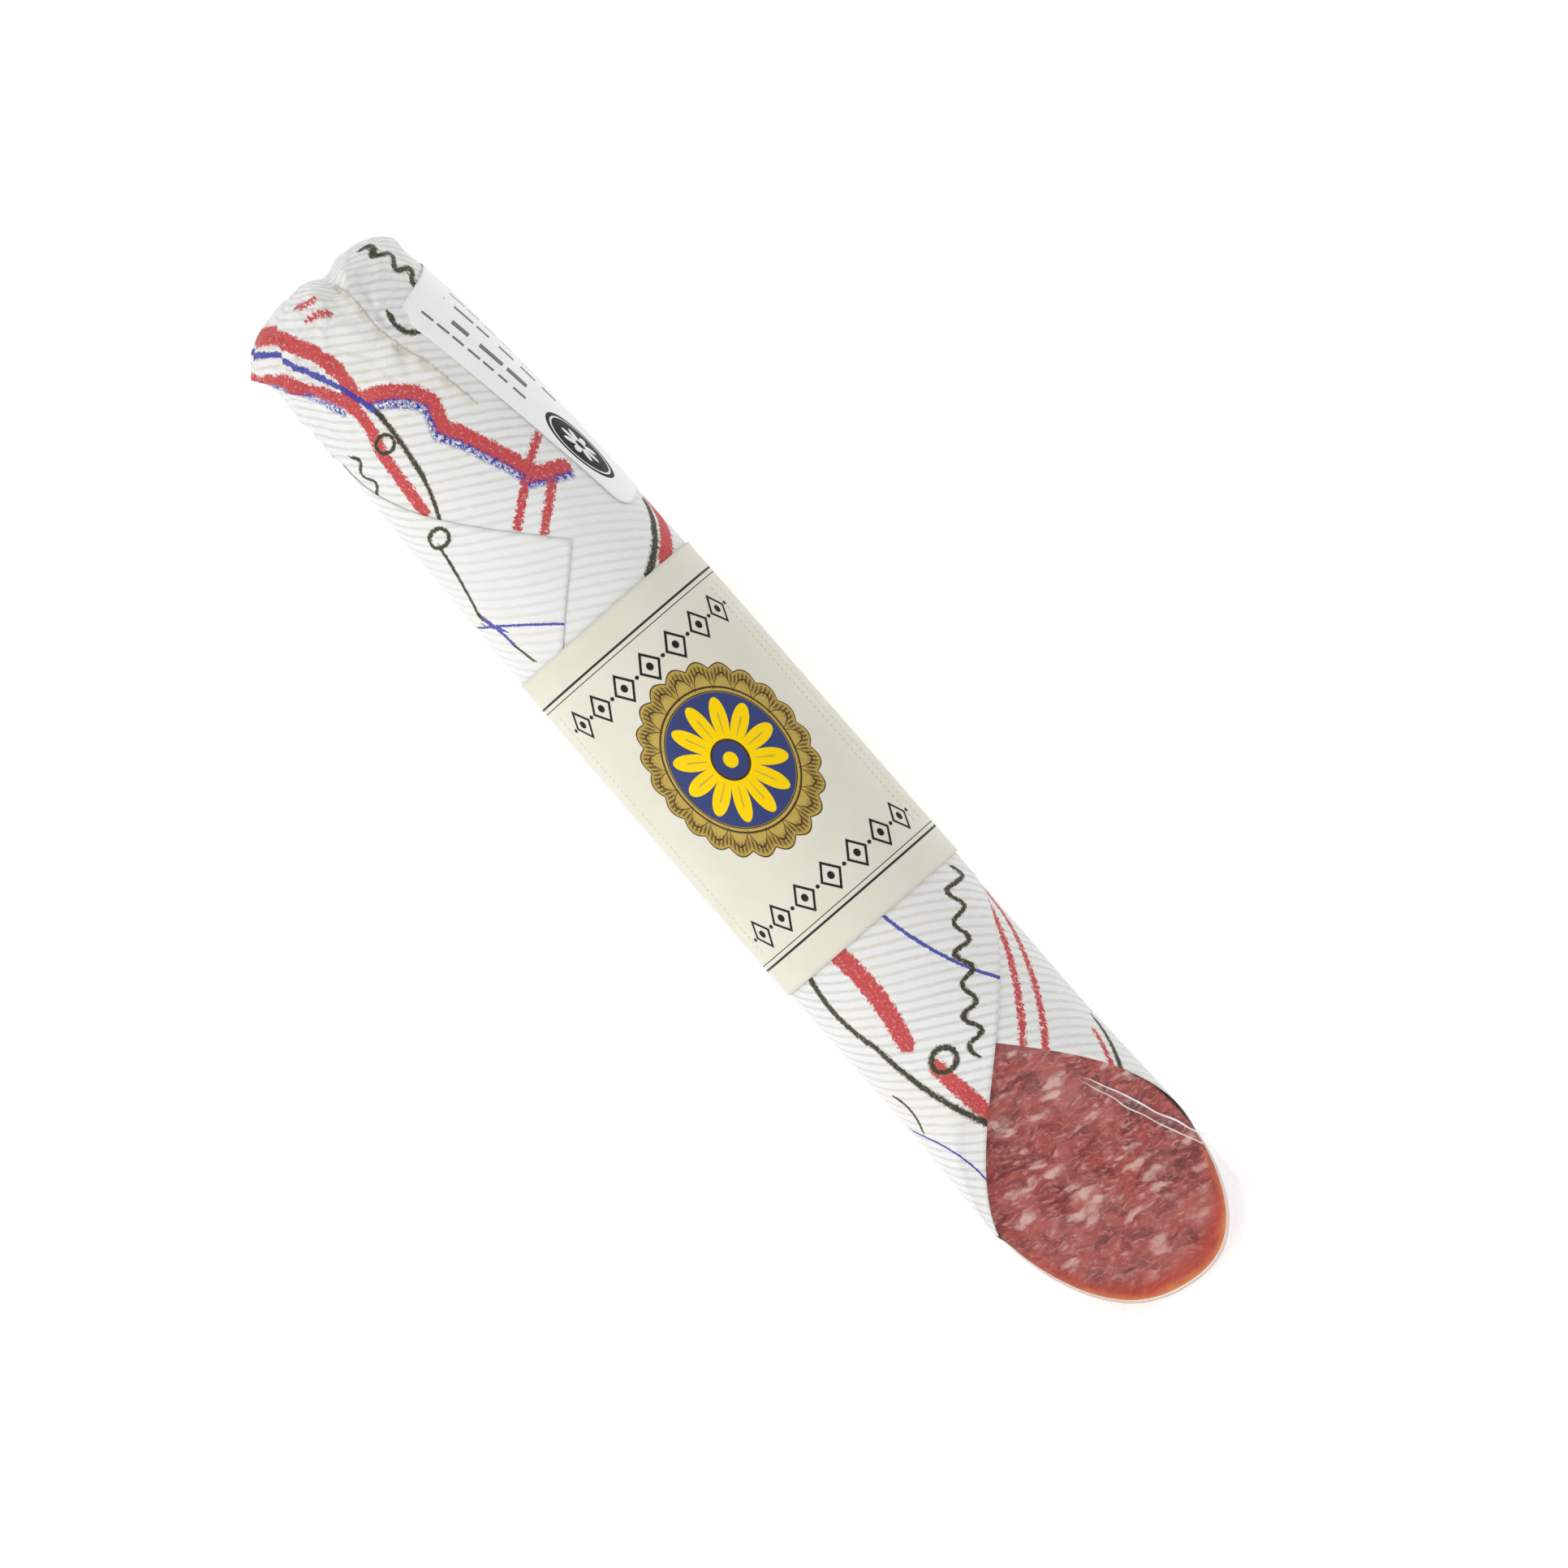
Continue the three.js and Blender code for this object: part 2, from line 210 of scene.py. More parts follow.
def ease(low, high, value):
    """Smooth rise from 0 at low to 1 at high."""
    share = np.clip((np.asarray(value, float) - low) / (high - low), 0, 1)
    return share * share * (3 - 2 * share)


def cut_facts():
    """Radius at the cut, x of the cut on the axis and x of its top."""
    s = shape()
    radius = BODY_RADIUS + s.swell
    side = math.sqrt(1 - FLAT * FLAT)
    centre = TIP_X + TIP_ROUNDING - radius * (s.cut_run * FLAT + s.cut_skew * side)
    return radius, centre, centre - s.cut_run * radius


def body_radius(x):
    s = shape()
    narrowing = s.narrowing * np.exp(-(np.asarray(x, float) - MEAT_START) / s.narrowing_length)
    top = cut_facts()[2]
    return BODY_RADIUS - narrowing + s.swell * ease(top, top + s.swell_length, x)


def axis_height(x):
    return body_radius(x) * FLAT + LIFT


def rounded_down(angle):
    """Cosine that flattens gently along the underside, where the body rests."""
    low = np.cos(angle)
    return low + (1 - FLAT) * np.clip(-low, 0, 1) ** 9


def on_body(x, angle, offset, scale=1.0):
    """Points that stand offset mm outside the body, as an array of x, y, z."""
    radius = (body_radius(x) + offset) * scale
    y = radius * np.sin(angle)
    z = axis_height(x) + radius * rounded_down(angle)
    return np.stack(np.broadcast_arrays(np.asarray(x, float), y, z), axis=-1)


def cut_x(y, z, offset=0.0):
    """X of the cut plane over y and z, moved out by offset mm along its normal."""
    s = shape()
    radius, centre = cut_facts()[:2]
    height = z - (radius * FLAT + LIFT)
    return centre + s.cut_skew * y - s.cut_run * height + offset * math.hypot(1, s.cut_run, s.cut_skew)


def cut_height(x, y):
    """Height of the cut plane over x and y."""
    s = shape()
    radius, centre = cut_facts()[:2]
    return radius * FLAT + LIFT - (x - centre - s.cut_skew * y) / s.cut_run


def cut_normal():
    s = shape()
    normal = np.array([1.0, -s.cut_skew, s.cut_run])
    return normal / np.linalg.norm(normal)


def rim_x(angle, offset):
    """Where the side line at each angle, offset mm out, meets the cut."""
    x = np.full_like(np.asarray(angle, float), cut_facts()[1])
    for _ in range(14):
        point = on_body(x, angle, offset)
        x = cut_x(point[..., 1], point[..., 2], offset)
    return x


def cut_middle(offset=0.0):
    """The point of the cut on the axis, offset mm out."""
    height = cut_facts()[0] * FLAT + LIFT
    return np.array([cut_x(0.0, height, offset), 0.0, height])


def soft_noise(points, size, seed, octaves=2):
    """Smooth repeatable noise between about -1 and 1, from sums of slanted waves."""
    rng = np.random.default_rng(seed)
    total = np.zeros(points.shape[:-1])
    weight = 1.0
    for octave in range(octaves):
        for _ in range(5):
            direction = rng.normal(size=points.shape[-1])
            direction *= TAU / (size * np.linalg.norm(direction)) * rng.uniform(0.7, 1.4)
            total += weight * np.sin(points @ direction + rng.uniform(0, TAU)) / 5
        weight *= 0.5
        size *= 0.5
    return total


# ---------------------------------------------------------------- meshes


def grid_faces(rows, columns, closed=False, start=0):
    """Quads between rows of points; closed joins the last column to the first."""
    across = np.arange(columns if closed else columns - 1)
    down = np.arange(rows - 1)[:, None] * columns
    here = down + across
    ahead = down + (across + 1) % columns
    quads = np.stack([here, here + columns, ahead + columns, ahead], axis=-1)
    return start + quads.reshape(-1, 4)


def capped_tube(rings, first, last):
    """Points and faces of rings in order, closed by one point at each end."""
    points = np.concatenate([*rings, [first, last]])
    count = len(rings[0])
    far = (len(rings) - 1) * count
    faces = grid_faces(len(rings), count, closed=True).tolist()
    for side in range(count):
        ahead = (side + 1) % count
        faces.append([len(points) - 2, side, ahead])
        faces.append([len(points) - 1, far + ahead, far + side])
    return points, faces


def add_object(name, data):
    item = bpy.data.objects.new(name, data)
    bpy.context.scene.collection.objects.link(item)
    return item


def evaluated_mesh(item):
    """A plain mesh of an object with its modifiers applied."""
    bpy.context.view_layer.update()
    return bpy.data.meshes.new_from_object(item.evaluated_get(bpy.context.evaluated_depsgraph_get()))


def to_row(points):
    """From millimetres along the body to the row frame in metres."""
    placed = np.asarray(points, float).reshape(-1, 3) * MM
    return placed + np.array([FOLD_X, AXIS_Y, 0.0])


def new_piece(name, points, faces, values=None, uv=None):
    """A mesh object at the origin, with its place in its mesh."""
    mesh = bpy.data.meshes.new(name)
    mesh.from_pydata(to_row(points).tolist(), [], [list(face) for face in faces])
    for key, amounts in (values or {}).items():
        attribute = mesh.attributes.new(key, "FLOAT", "POINT")
        attribute.data.foreach_set("value", np.asarray(amounts, np.float32).ravel())
    if uv is not None:
        corners = np.empty(len(mesh.loops), np.int32)
        mesh.loops.foreach_get("vertex_index", corners)
        layer = mesh.uv_layers.new(name="UVMap")
        layer.data.foreach_set("uv", np.asarray(uv, np.float32).reshape(-1, 2)[corners].ravel())
    mesh.polygons.foreach_set("use_smooth", np.ones(len(mesh.polygons), bool))
    mesh.update()
    return add_object(name, mesh)


def used_only(points, faces, *others):
    """Drops the points that no face uses, from the points and from every array beside them."""
    faces = np.asarray(faces)
    used = np.unique(faces)
    lookup = np.full(len(points), -1)
    lookup[used] = np.arange(len(used))
    return (points[used], lookup[faces], *[other[used] for other in others])


def thicken(piece, wall):
    """Gives a sheet a wall of that many mm, inwards from its surface."""
    solid = piece.modifiers.new("wall", "SOLIDIFY")
    solid.thickness = wall * MM
    solid.offset = -1
    mesh = evaluated_mesh(piece)
    piece.modifiers.clear()
    old = piece.data
    piece.data = mesh
    bpy.data.meshes.remove(old)
    mesh.name = piece.name


def declare(piece, material, slot, *nodes):
    """Material, body and CAD nodes of a finished piece; the slot is not used."""
    if not piece.data.materials:
        piece.data.materials.append(material)
    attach(piece, BODY)
    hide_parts(*nodes)


# ---------------------------------------------------------------- material helpers


class Nodes:
    """Short calls for building a material or a node group."""

    def __init__(self, tree):
        self.tree = tree

    def add(self, kind, inputs=None, **settings):
        """A new node with its settings, and with values or other nodes' outputs in its named inputs."""
        node = self.tree.nodes.new(kind)
        for key, value in settings.items():
            setattr(node, key, value)
        return self.fill(node, inputs or {})

    def fill(self, node, inputs):
        for key, value in inputs.items():
            self.feed(node.inputs[key], value)
        return node

    def feed(self, socket, value):
        if isinstance(value, bpy.types.NodeSocket):
            self.tree.links.new(value, socket)
        elif value is not None:
            socket.default_value = value

    def math(self, operation, *values, clamp=False):
        node = self.add("ShaderNodeMath", dict(enumerate(values)), operation=operation, use_clamp=clamp)
        return node.outputs[0]

    def plus(self, a, b, clamp=False):
        return self.math("ADD", a, b, clamp=clamp)

    def minus(self, a, b):
        return self.math("SUBTRACT", a, b)

    def times(self, a, b):
        return self.math("MULTIPLY", a, b)

    def over(self, a, b):
        return self.math("DIVIDE", a, b)

    def off(self, value, middle):
        """How far a value is from a middle, on either side."""
        return self.math("ABSOLUTE", self.minus(value, middle))

    def vector(self, operation, *values):
        node = self.add("ShaderNodeVectorMath", dict(enumerate(values)), operation=operation)
        return node.outputs["Vector"]

    def scaled(self, vector, scale):
        node = self.add("ShaderNodeVectorMath", {0: vector, "Scale": scale}, operation="SCALE")
        return node.outputs["Vector"]

    def rise(self, value, low, high):
        """0 below low, 1 above high, smooth between; falls where low is the larger."""
        start, end = (1.0, 0.0) if low > high else (0.0, 1.0)
        node = self.add("ShaderNodeMapRange", {
            "Value": value, "From Min": min(low, high), "From Max": max(low, high), "To Min": start,
            "To Max": end}, interpolation_type="SMOOTHSTEP", clamp=True)
        return node.outputs["Result"]

    def mix(self, share, *colors):
        node = self.add("ShaderNodeMix", {0: share}, data_type="RGBA")
        for place, color in zip((6, 7), colors):
            linked = isinstance(color, bpy.types.NodeSocket)
            self.feed(node.inputs[place], color if linked else (*color, 1.0))
        return node.outputs[2]

    def noise(self, vector, scale, detail=2.0, rough=0.5, distortion=0.0, output="Fac"):
        node = self.add("ShaderNodeTexNoise", {
            "Vector": vector, "Scale": scale, "Detail": detail, "Roughness": rough,
            "Distortion": distortion})
        return node.outputs[output]

    def place(self):
        return self.add("ShaderNodeTexCoord").outputs["Object"]

    def flat(self):
        return self.add("ShaderNodeUVMap", uv_map="UVMap").outputs["UV"]

    def attribute(self, name):
        return self.add("ShaderNodeAttribute", attribute_name=name).outputs["Fac"]

    def split(self, vector):
        return self.add("ShaderNodeSeparateXYZ", {0: vector}).outputs

    def join(self, *values):
        return self.add("ShaderNodeCombineXYZ", dict(enumerate(values))).outputs[0]

    def group(self, tree, **values):
        node = self.add("ShaderNodeGroup", node_tree=tree)
        return self.fill(node, {key.capitalize(): value for key, value in values.items()}).outputs

    def bump(self, height, strength, distance):
        values = {"Height": height, "Strength": strength, "Distance": distance}
        return self.add("ShaderNodeBump", values).outputs["Normal"]


def tinted(color, *shares):
    """A colour with each channel multiplied by its share."""
    return tuple(value * share for value, share in zip(color, shares))


def new_material(name):
    material = bpy.data.materials.new(name)
    material.use_nodes = True
    nodes = Nodes(material.node_tree)
    shader = material.node_tree.nodes["Principled BSDF"]
    return material, nodes, shader


def new_tree(name, kind, inputs, outputs):
    """A node group with its named sockets: tree, nodes, what it is given, and its output node."""
    tree = bpy.data.node_groups.new(name, kind)
    for label, (type_name, default) in inputs.items():
        socket = tree.interface.new_socket(label, in_out="INPUT", socket_type="NodeSocket" + type_name)
        if default is not None:
            socket.default_value = default
    for label, type_name in outputs.items():
        tree.interface.new_socket(label, in_out="OUTPUT", socket_type="NodeSocket" + type_name)
    nodes = Nodes(tree)
    return tree, nodes, nodes.add("NodeGroupInput").outputs, nodes.add("NodeGroupOutput")


def paper_grain_group():
    """Faint fibre mottling and a fine tooth, for every paper."""
    tree, nodes, given, output = new_tree(
        "Paper Grain", "ShaderNodeTree", {"Vector": ("Vector", None), "Scale": ("Float", 1.0)},
        {"Mottle": "Float", "Tooth": "Float"})
    place = nodes.scaled(given["Vector"], given["Scale"])
    nodes.fill(output, {"Mottle": nodes.noise(place, 90.0, 3.0, 0.6),
                        "Tooth": nodes.noise(place, 1400.0, 2.0, 0.6)})
    return tree


def rosette_group():
    """A plain flower in an oval: how far out a point is, its petals and its scalloped edge."""
    sizes = {"Along": 0.0, "Across": 0.0, "Length": 1.0, "Width": 1.0, "Petals": 8.0, "Scallops": 20.0}
    tree, nodes, given, output = new_tree(
        "Oval Rosette", "ShaderNodeTree", {name: ("Float", value) for name, value in sizes.items()},
        dict.fromkeys(("Reach", "Petal", "Scallop", "Turn"), "Float"))
    along = nodes.over(given["Along"], nodes.times(given["Length"], 0.5))
    across = nodes.over(given["Across"], nodes.times(given["Width"], 0.5))
    turn = nodes.math("ARCTAN2", across, along)

    def waves(shape, count):
        angle = nodes.times(turn, nodes.times(given[count], 0.5))
        return nodes.math("ABSOLUTE", nodes.math(shape, angle))

    reach = nodes.math("SQRT", nodes.plus(nodes.times(along, along), nodes.times(across, across)))
    nodes.fill(output, {"Reach": reach, "Petal": waves("COSINE", "Petals"),
                        "Scallop": waves("SINE", "Scallops"), "Turn": turn})
    return tree


GROUPS = {}


def shared(name):
    """The shader group of that name, built the first time it is asked for."""
    makers = {"grain": paper_grain_group, "rosette": rosette_group}
    if name not in GROUPS:
        GROUPS[name] = makers[name]()
    return GROUPS[name]


# ---------------------------------------------------------------- sausage


def meat_material():
    s = shape()
    material, nodes, shader = new_material("Cured meat")
    place = nodes.place()
    warp = nodes.noise(place, 160.0, 2.0, 0.5, output="Color")
    shift = nodes.scaled(nodes.vector("SUBTRACT", warp, (0.5, 0.5, 0.5)), 0.006)
    bent = nodes.vector("ADD", place, shift)
    grain = nodes.add("ShaderNodeMapping", {
        "Vector": bent, "Rotation": (0.0, 0.0, math.radians(-14)), "Scale": (1.0, 2.3, 1.3)},
        vector_type="TEXTURE").outputs["Vector"]

    def flecks(scale, chosen, core, edge):
        cells = nodes.add("ShaderNodeTexVoronoi", {"Vector": grain, "Scale": scale, "Smoothness": 0.35},
                          feature="SMOOTH_F1")
        picked = nodes.rise(nodes.split(cells.outputs["Color"])[0], chosen, chosen + 0.05)
        near = nodes.rise(cells.outputs["Distance"], edge, core)
        return nodes.times(picked, near)

    big = flecks(265.0, 0.48, 0.05, 0.62)
    small = flecks(540.0, 0.40, 0.05, 0.56)
    fat = nodes.plus(big, nodes.times(small, 0.62), clamp=True)
    ragged = nodes.noise(bent, 620.0, 5.0, 0.8)
    fat = nodes.rise(nodes.plus(fat, nodes.times(ragged, 1.5)), 0.82, 1.80)
    depth = nodes.attribute("skin_depth")
    # lower is 1 on the low part of the cut, where the painted rim glow is laid; fat is thinned and kept
    # further from the rim there.
    lower = nodes.rise(nodes.split(place)[2], 0.027, 0.006)
    skin = nodes.plus(nodes.times(lower, 3.2), 1.0)
    fat = nodes.times(fat, nodes.minus(1.0, nodes.times(lower, 0.35)))
    fat = nodes.times(fat, nodes.rise(nodes.over(depth, skin), 0.3, 1.0))

    patches = nodes.noise(grain, 260.0, 5.0, 0.7)
    streaks = nodes.noise(grain, 800.0, 5.0, 0.75)
    lean = tuple(s.lean_color)
    dark = tinted(lean, 0.42, 0.32, 0.42)
    pale = tinted(lean, 1.30, 2.5, 2.8)
    color = nodes.mix(nodes.rise(patches, 0.38, 0.58), dark, lean)
    color = nodes.mix(nodes.rise(streaks, 0.47, 0.66), color, pale)
    clouds = nodes.rise(nodes.noise(bent, 75.0, 3.0), 0.42, 0.68)
    color = nodes.mix(nodes.times(clouds, 0.40), color, pale)
    blush = nodes.rise(nodes.noise(bent, 110.0, 3.0), 0.50, 0.72)
    color = nodes.mix(nodes.times(blush, 0.28), color, (0.40, 0.13, 0.16))
    cloudy = nodes.times(nodes.noise(bent, 420.0, 3.0, 0.6), 0.9)
    cloudy = nodes.plus(cloudy, 0.48, clamp=True)
    color = nodes.mix(nodes.times(fat, cloudy), color, s.fat_color)
    # Painted light: near the rim on the low part of the cut, the lean is painted warmer and then
    # orange, as a glow of light shining through the thin edge.
    rim = nodes.plus(depth, nodes.times(nodes.noise(place, 220.0, 2.0), -2.2))
    warm_glow = nodes.times(nodes.rise(rim, 4.6, 0.2), nodes.times(lower, 0.75))
    color = nodes.mix(warm_glow, color, tinted(lean, 1.25, 0.75, 0.5))
    glowing = nodes.times(nodes.rise(rim, 1.0, -1.4), nodes.times(lower, 0.9))
    color = nodes.mix(glowing, color, s.rim_color)
    height = nodes.plus(nodes.times(fat, 0.6), nodes.times(streaks, 0.5))
    nodes.fill(shader, {
        "Base Color": color, "Roughness": nodes.plus(nodes.times(fat, 0.12), 0.36),
        "Subsurface Weight": 0.25, "Subsurface Radius": (1.0, 0.35, 0.18), "Subsurface Scale": 0.0022,
        "Specular IOR Level": 0.15, "Normal": nodes.bump(height, 0.35, 0.0003)})
    return material


def dome_swings(first, count):
    """Angles over the closed dome from near its pole to near its foot."""
    return np.linspace(first, 0.97, count) * math.pi / 2


def make_sausage():
    """The meat: domed at the hidden end, cut on a slant, with a slightly rounded rim."""
    s = shape()
    angles = np.linspace(0, TAU, HOOP_POINTS, endpoint=False)
    rounding = 1.2
    rings = []
    depths = []

    def ring_at(points, depth):
        rings.append(points)
        depths.append(np.broadcast_to(depth, angles.shape))

    for swing in dome_swings(0.02, 12):
        x = MEAT_START + s.dome * (1 - math.cos(swing))
        ring_at(on_body(np.full_like(angles, x), angles, 0.0, math.sin(swing)), 0.0)
    rim = rim_x(angles, 0.0)
    start = MEAT_START + s.dome
    for share in np.linspace(0, 1, 96):
        x = start + (rim - rounding - start) * share
        tube = np.stack([x / 3, np.cos(angles) * 20, np.sin(angles) * 20], -1)
        ring_at(on_body(x, angles, 0.12 * soft_noise(tube, 9, 3) - 0.1), 0.0)
    for along, inset in ((0.55, 0.10), (0.12, 0.38)):
        ring_at(on_body(rim - rounding * along, angles, -inset), inset)

    rim_points = on_body(rim, angles, 0.0)
    middle = cut_middle()
    inward = middle - rim_points
    reach = np.linalg.norm(inward[:, 1:], axis=1)
    inward = inward / reach[:, None]
    normal = cut_normal()
    for depth in (0.35, 0.8, 1.4):
        sink = 0.18 * math.exp(-depth / 0.4)
        ring_at(rim_points + inward * depth - normal * sink, depth)
    for share in np.linspace(0.06, 0.985, 40):
        depth = np.maximum(reach * share, 1.8)
        points = rim_points + inward * depth[:, None]
        bumps = 0.16 * soft_noise(points, 9.0, 11, 3) * np.minimum(depth / 4, 1)
        ring_at(points + normal * bumps[:, None], depth)
    points, faces = capped_tube(rings, [MEAT_START, 0.0, float(axis_height(MEAT_START))], middle)
    skin_depth = np.concatenate([*depths, [0.0, cut_facts()[0]]])
    piece = new_piece("cut_sausage", points, faces, {"skin_depth": skin_depth})
    declare(piece, meat_material(), "meat", "sausage")


class SAUSAGE_OT_meat(bpy.types.Operator):
    """Make the cut sausage"""

    bl_idname = "sausage.meat"
    bl_label = "Cured sausage"

    def execute(self, context):
        make_sausage()
        return {"FINISHED"}


# ---------------------------------------------------------------- clear film


def film_material():
    material, nodes, shader = new_material("Clear shrunk film")
    tree = material.node_tree
    place = nodes.place()
    ripple = nodes.noise(place, 240.0, 3.0, 0.6, 0.4)
    nodes.fill(shader, {
        "Base Color": (0.97, 0.97, 0.97, 1.0), "Roughness": 0.15, "Specular IOR Level": 0.5,
        "Normal": nodes.bump(ripple, 0.5, 0.0006)})
    edge = nodes.add("ShaderNodeFresnel", {"IOR": 1.4})
    cloud = nodes.times(nodes.rise(nodes.noise(place, 45.0, 2.0), 0.35, 0.75), 0.02)
    body = nodes.plus(nodes.times(edge.outputs[0], 0.5), cloud)
    # Painted highlight: this attribute turns the film near-opaque white along the pleat's ridges and
    # the gathers' crests, as glints; low values give a faint haze.
    share = nodes.plus(body, nodes.times(nodes.attribute("haze_and_glint"), 0.95), clamp=True)
    clear = nodes.add("ShaderNodeBsdfTransparent")
    blend = nodes.add("ShaderNodeMixShader", {0: share, 1: clear.outputs[0], 2: shader.outputs[0]})
    nodes.fill(tree.nodes["Material Output"], {"Surface": blend.outputs[0]})
    return material


def make_film():
    """Film drawn tight over the meat, with a pleat across the cut and gathers past the tip."""
    offset = wrapping().film_offset
    s = shape()
    angles = np.linspace(0, TAU, HOOP_POINTS, endpoint=False)
    rings = []
    for swing in dome_swings(0.05, 8):
        x = MEAT_START + s.dome * (1 - math.cos(swing))
        ring = on_body(np.full_like(angles, x), angles, offset, math.sin(swing))
        ring[:, 0] -= offset * math.cos(swing)
        rings.append(ring)
    rim = rim_x(angles, offset)
    start = MEAT_START + s.dome
    for share in np.linspace(0, 0.995, 80):
        rings.append(on_body(start + (rim - start) * share, angles, offset))
    rim_points = on_body(rim, angles, offset)
    middle = cut_middle(offset)
    for share in (0.004, *np.linspace(0.02, 0.985, 60)):
        points = rim_points + (middle - rim_points) * share
        bumps = 0.10 * soft_noise(points, 14.0, 21, 3) * min(share * 12, 1)
        rings.append(points + cut_normal() * bumps[:, None])
    pole = [MEAT_START - offset, 0.0, float(axis_height(MEAT_START))]
    points, faces = capped_tube(rings, pole, middle)
    haze_and_glint = np.zeros(len(points))
    for extra in (film_pleat, film_gathers):
        more, more_faces, more_haze_and_glint = extra(len(points))
        points = np.concatenate([points, more])
        faces += more_faces
        haze_and_glint = np.concatenate([haze_and_glint, more_haze_and_glint])
    piece = new_piece("shrunk_film", points, faces, {"haze_and_glint": haze_and_glint})
    declare(piece, film_material(), "clear_film", "clear_film")


PLEAT_START = np.array([283.0, 13.6])
PLEAT_RUN = np.array([34.0, 14.3])
# The last column paints the pleat's two ridge lines near-opaque white, as painted highlights.
PLEAT_PROFILE = np.array([  # across in half widths, height in mm, frost
    (-0.60, 0.0, 0.0), (-0.57, 0.22, 0.8), (-0.42, 0.30, 0.8), (-0.39, 0.15, 0.06), (0.0, 0.1, 0.03),
    (0.42, 0.15, 0.06), (0.45, 0.30, 1.0), (0.61, 0.22, 1.0), (0.64, 0.0, 0.0)])


def film_pleat(start):
    """A narrow fold of film lying on the cut face, running out over its rim, with painted highlights.
    """
    across, height, haze_and_glint = PLEAT_PROFILE.T
    run = np.linspace(0, 1, 90)
    wander = 0.45 * np.sin(run * 7) * (1 - run) + 0.1 * np.sin(run * 27)
    width = 2.0 * np.sqrt(np.clip(run * 2.5, 0, 1)) * (1 + 0.12 * np.sin(run * 19)) + 0.3
    side = np.array([-PLEAT_RUN[1], PLEAT_RUN[0]]) / math.hypot(*PLEAT_RUN)
    x = PLEAT_START[0] + PLEAT_RUN[0] * run
    y = PLEAT_START[1] + PLEAT_RUN[1] * run + wander
    px = x[:, None] + side[0] * across * width[:, None]
    py = y[:, None] + side[1] * across * width[:, None]
    points = np.stack([px, py, cut_height(px, py)], -1)
    standing = height[None, :, None] * np.clip(run * 4, 0.2, 1)[:, None, None]
    points += cut_normal() * (wrapping().film_offset + 0.1 + standing)
    fade = (0.88 + 0.12 * np.sin(run * 40 + 1) * np.sin(run * 17)) * np.clip(run * 8, 0, 1)
    faces = grid_faces(len(run), len(across), start=start).tolist()
    return points.reshape(-1, 3), faces, (haze_and_glint * fade[:, None]).ravel()


GATHER_HALF = 28.0  # mm from the axis past which the gathers turn back


def film_gathers(start):
    """A short crumpled skirt of film that spreads on the surface past the tip, with painted highlights
    on its crests.
    """
    angles = np.radians(np.linspace(96, 262, 260))
    out = np.linspace(0, 1, 14)
    offset = wrapping().film_offset
    rim = on_body(rim_x(angles, offset), angles, offset)
    away = np.stack([np.full_like(angles, 1.0), np.sin(angles) * 1.1], -1)
    away /= np.linalg.norm(away, axis=1)[:, None]
    longest = FLAP_END - TIP_X - 0.5
    near_tip = np.exp(-((np.degrees(angles) - 180) / 50) ** 2)
    uneven = 0.75 + 0.25 * np.sin(angles * 11) * np.sin(angles * 5 + 1)
    reach = longest * (0.35 + 0.65 * near_tip) * uneven
    fold = np.sin(angles * 21 + 2.5 * np.sin(angles * 7)) * (0.6 + 0.4 * np.sin(angles * 12 + 1))
    xy = rim[:, None, :2] + away[:, None, :] * (reach[:, None] * out)[..., None]
    beyond = np.maximum(np.abs(xy[..., 1]) - GATHER_HALF, 0)
    xy[..., 1] -= np.sign(xy[..., 1]) * beyond * beyond / (beyond + 0.9)
    drop = rim[:, 2:3] * (1 - out) ** 2.2
    twist = np.sin(angles[:, None] * 33 + out * 4)
    ripple = 1.2 * (fold[:, None] + 0.4 * twist) * np.sin(out * math.pi * 0.8)
    z = np.maximum(drop + ripple + 0.5, LIFT * 0.2 + 0.05 * out)
    points = np.concatenate([xy, z[..., None]], -1)
    # A faint haze over the whole skirt, with painted highlights along the crests of its folds.
    haze_and_glint = 0.14 + 0.60 * np.clip(fold[:, None] + 0.5 * twist - 0.5, 0, 1) * np.sin(out * math.pi)
    faces = grid_faces(len(angles), len(out), start=start).tolist()
    return points.reshape(-1, 3), faces, haze_and_glint.ravel()


class SAUSAGE_OT_film(bpy.types.Operator):
    """Shrink the clear film over the sausage"""

    bl_idname = "sausage.film"
    bl_label = "Clear film"

    def execute(self, context):
        make_film()
        return {"FINISHED"}


# ---------------------------------------------------------------- paper roll


def roll_radius():
    return BODY_RADIUS + wrapping().roll_offset + 2 * wrapping().pitch


def sheet_to_roll(down, side):
    """Station and total angle of a point down mm from one outer edge and side mm from the other."""
    w = wrapping()
    x = w.corner_x + math.sin(w.lean) * down - math.cos(w.lean) * side
    arc = -math.cos(w.lean) * down - math.sin(w.lean) * side
    return x, w.corner_angle + arc / roll_radius()


def outer_edge_angle(x):
    """Total angle at which the sheet's outermost edge passes station x."""
    w = wrapping()
    gap = np.asarray(x, float) - w.corner_x
    slope = np.where(gap > 0, 1 / math.tan(w.lean), -math.tan(w.lean))
    return w.corner_angle - gap * slope / roll_radius()


def visible_turn(x, angle):
    """Total angle of the layer that shows at station x and that angle."""
    edge = outer_edge_angle(x)
    return angle - TAU * np.ceil((angle - edge) / TAU)


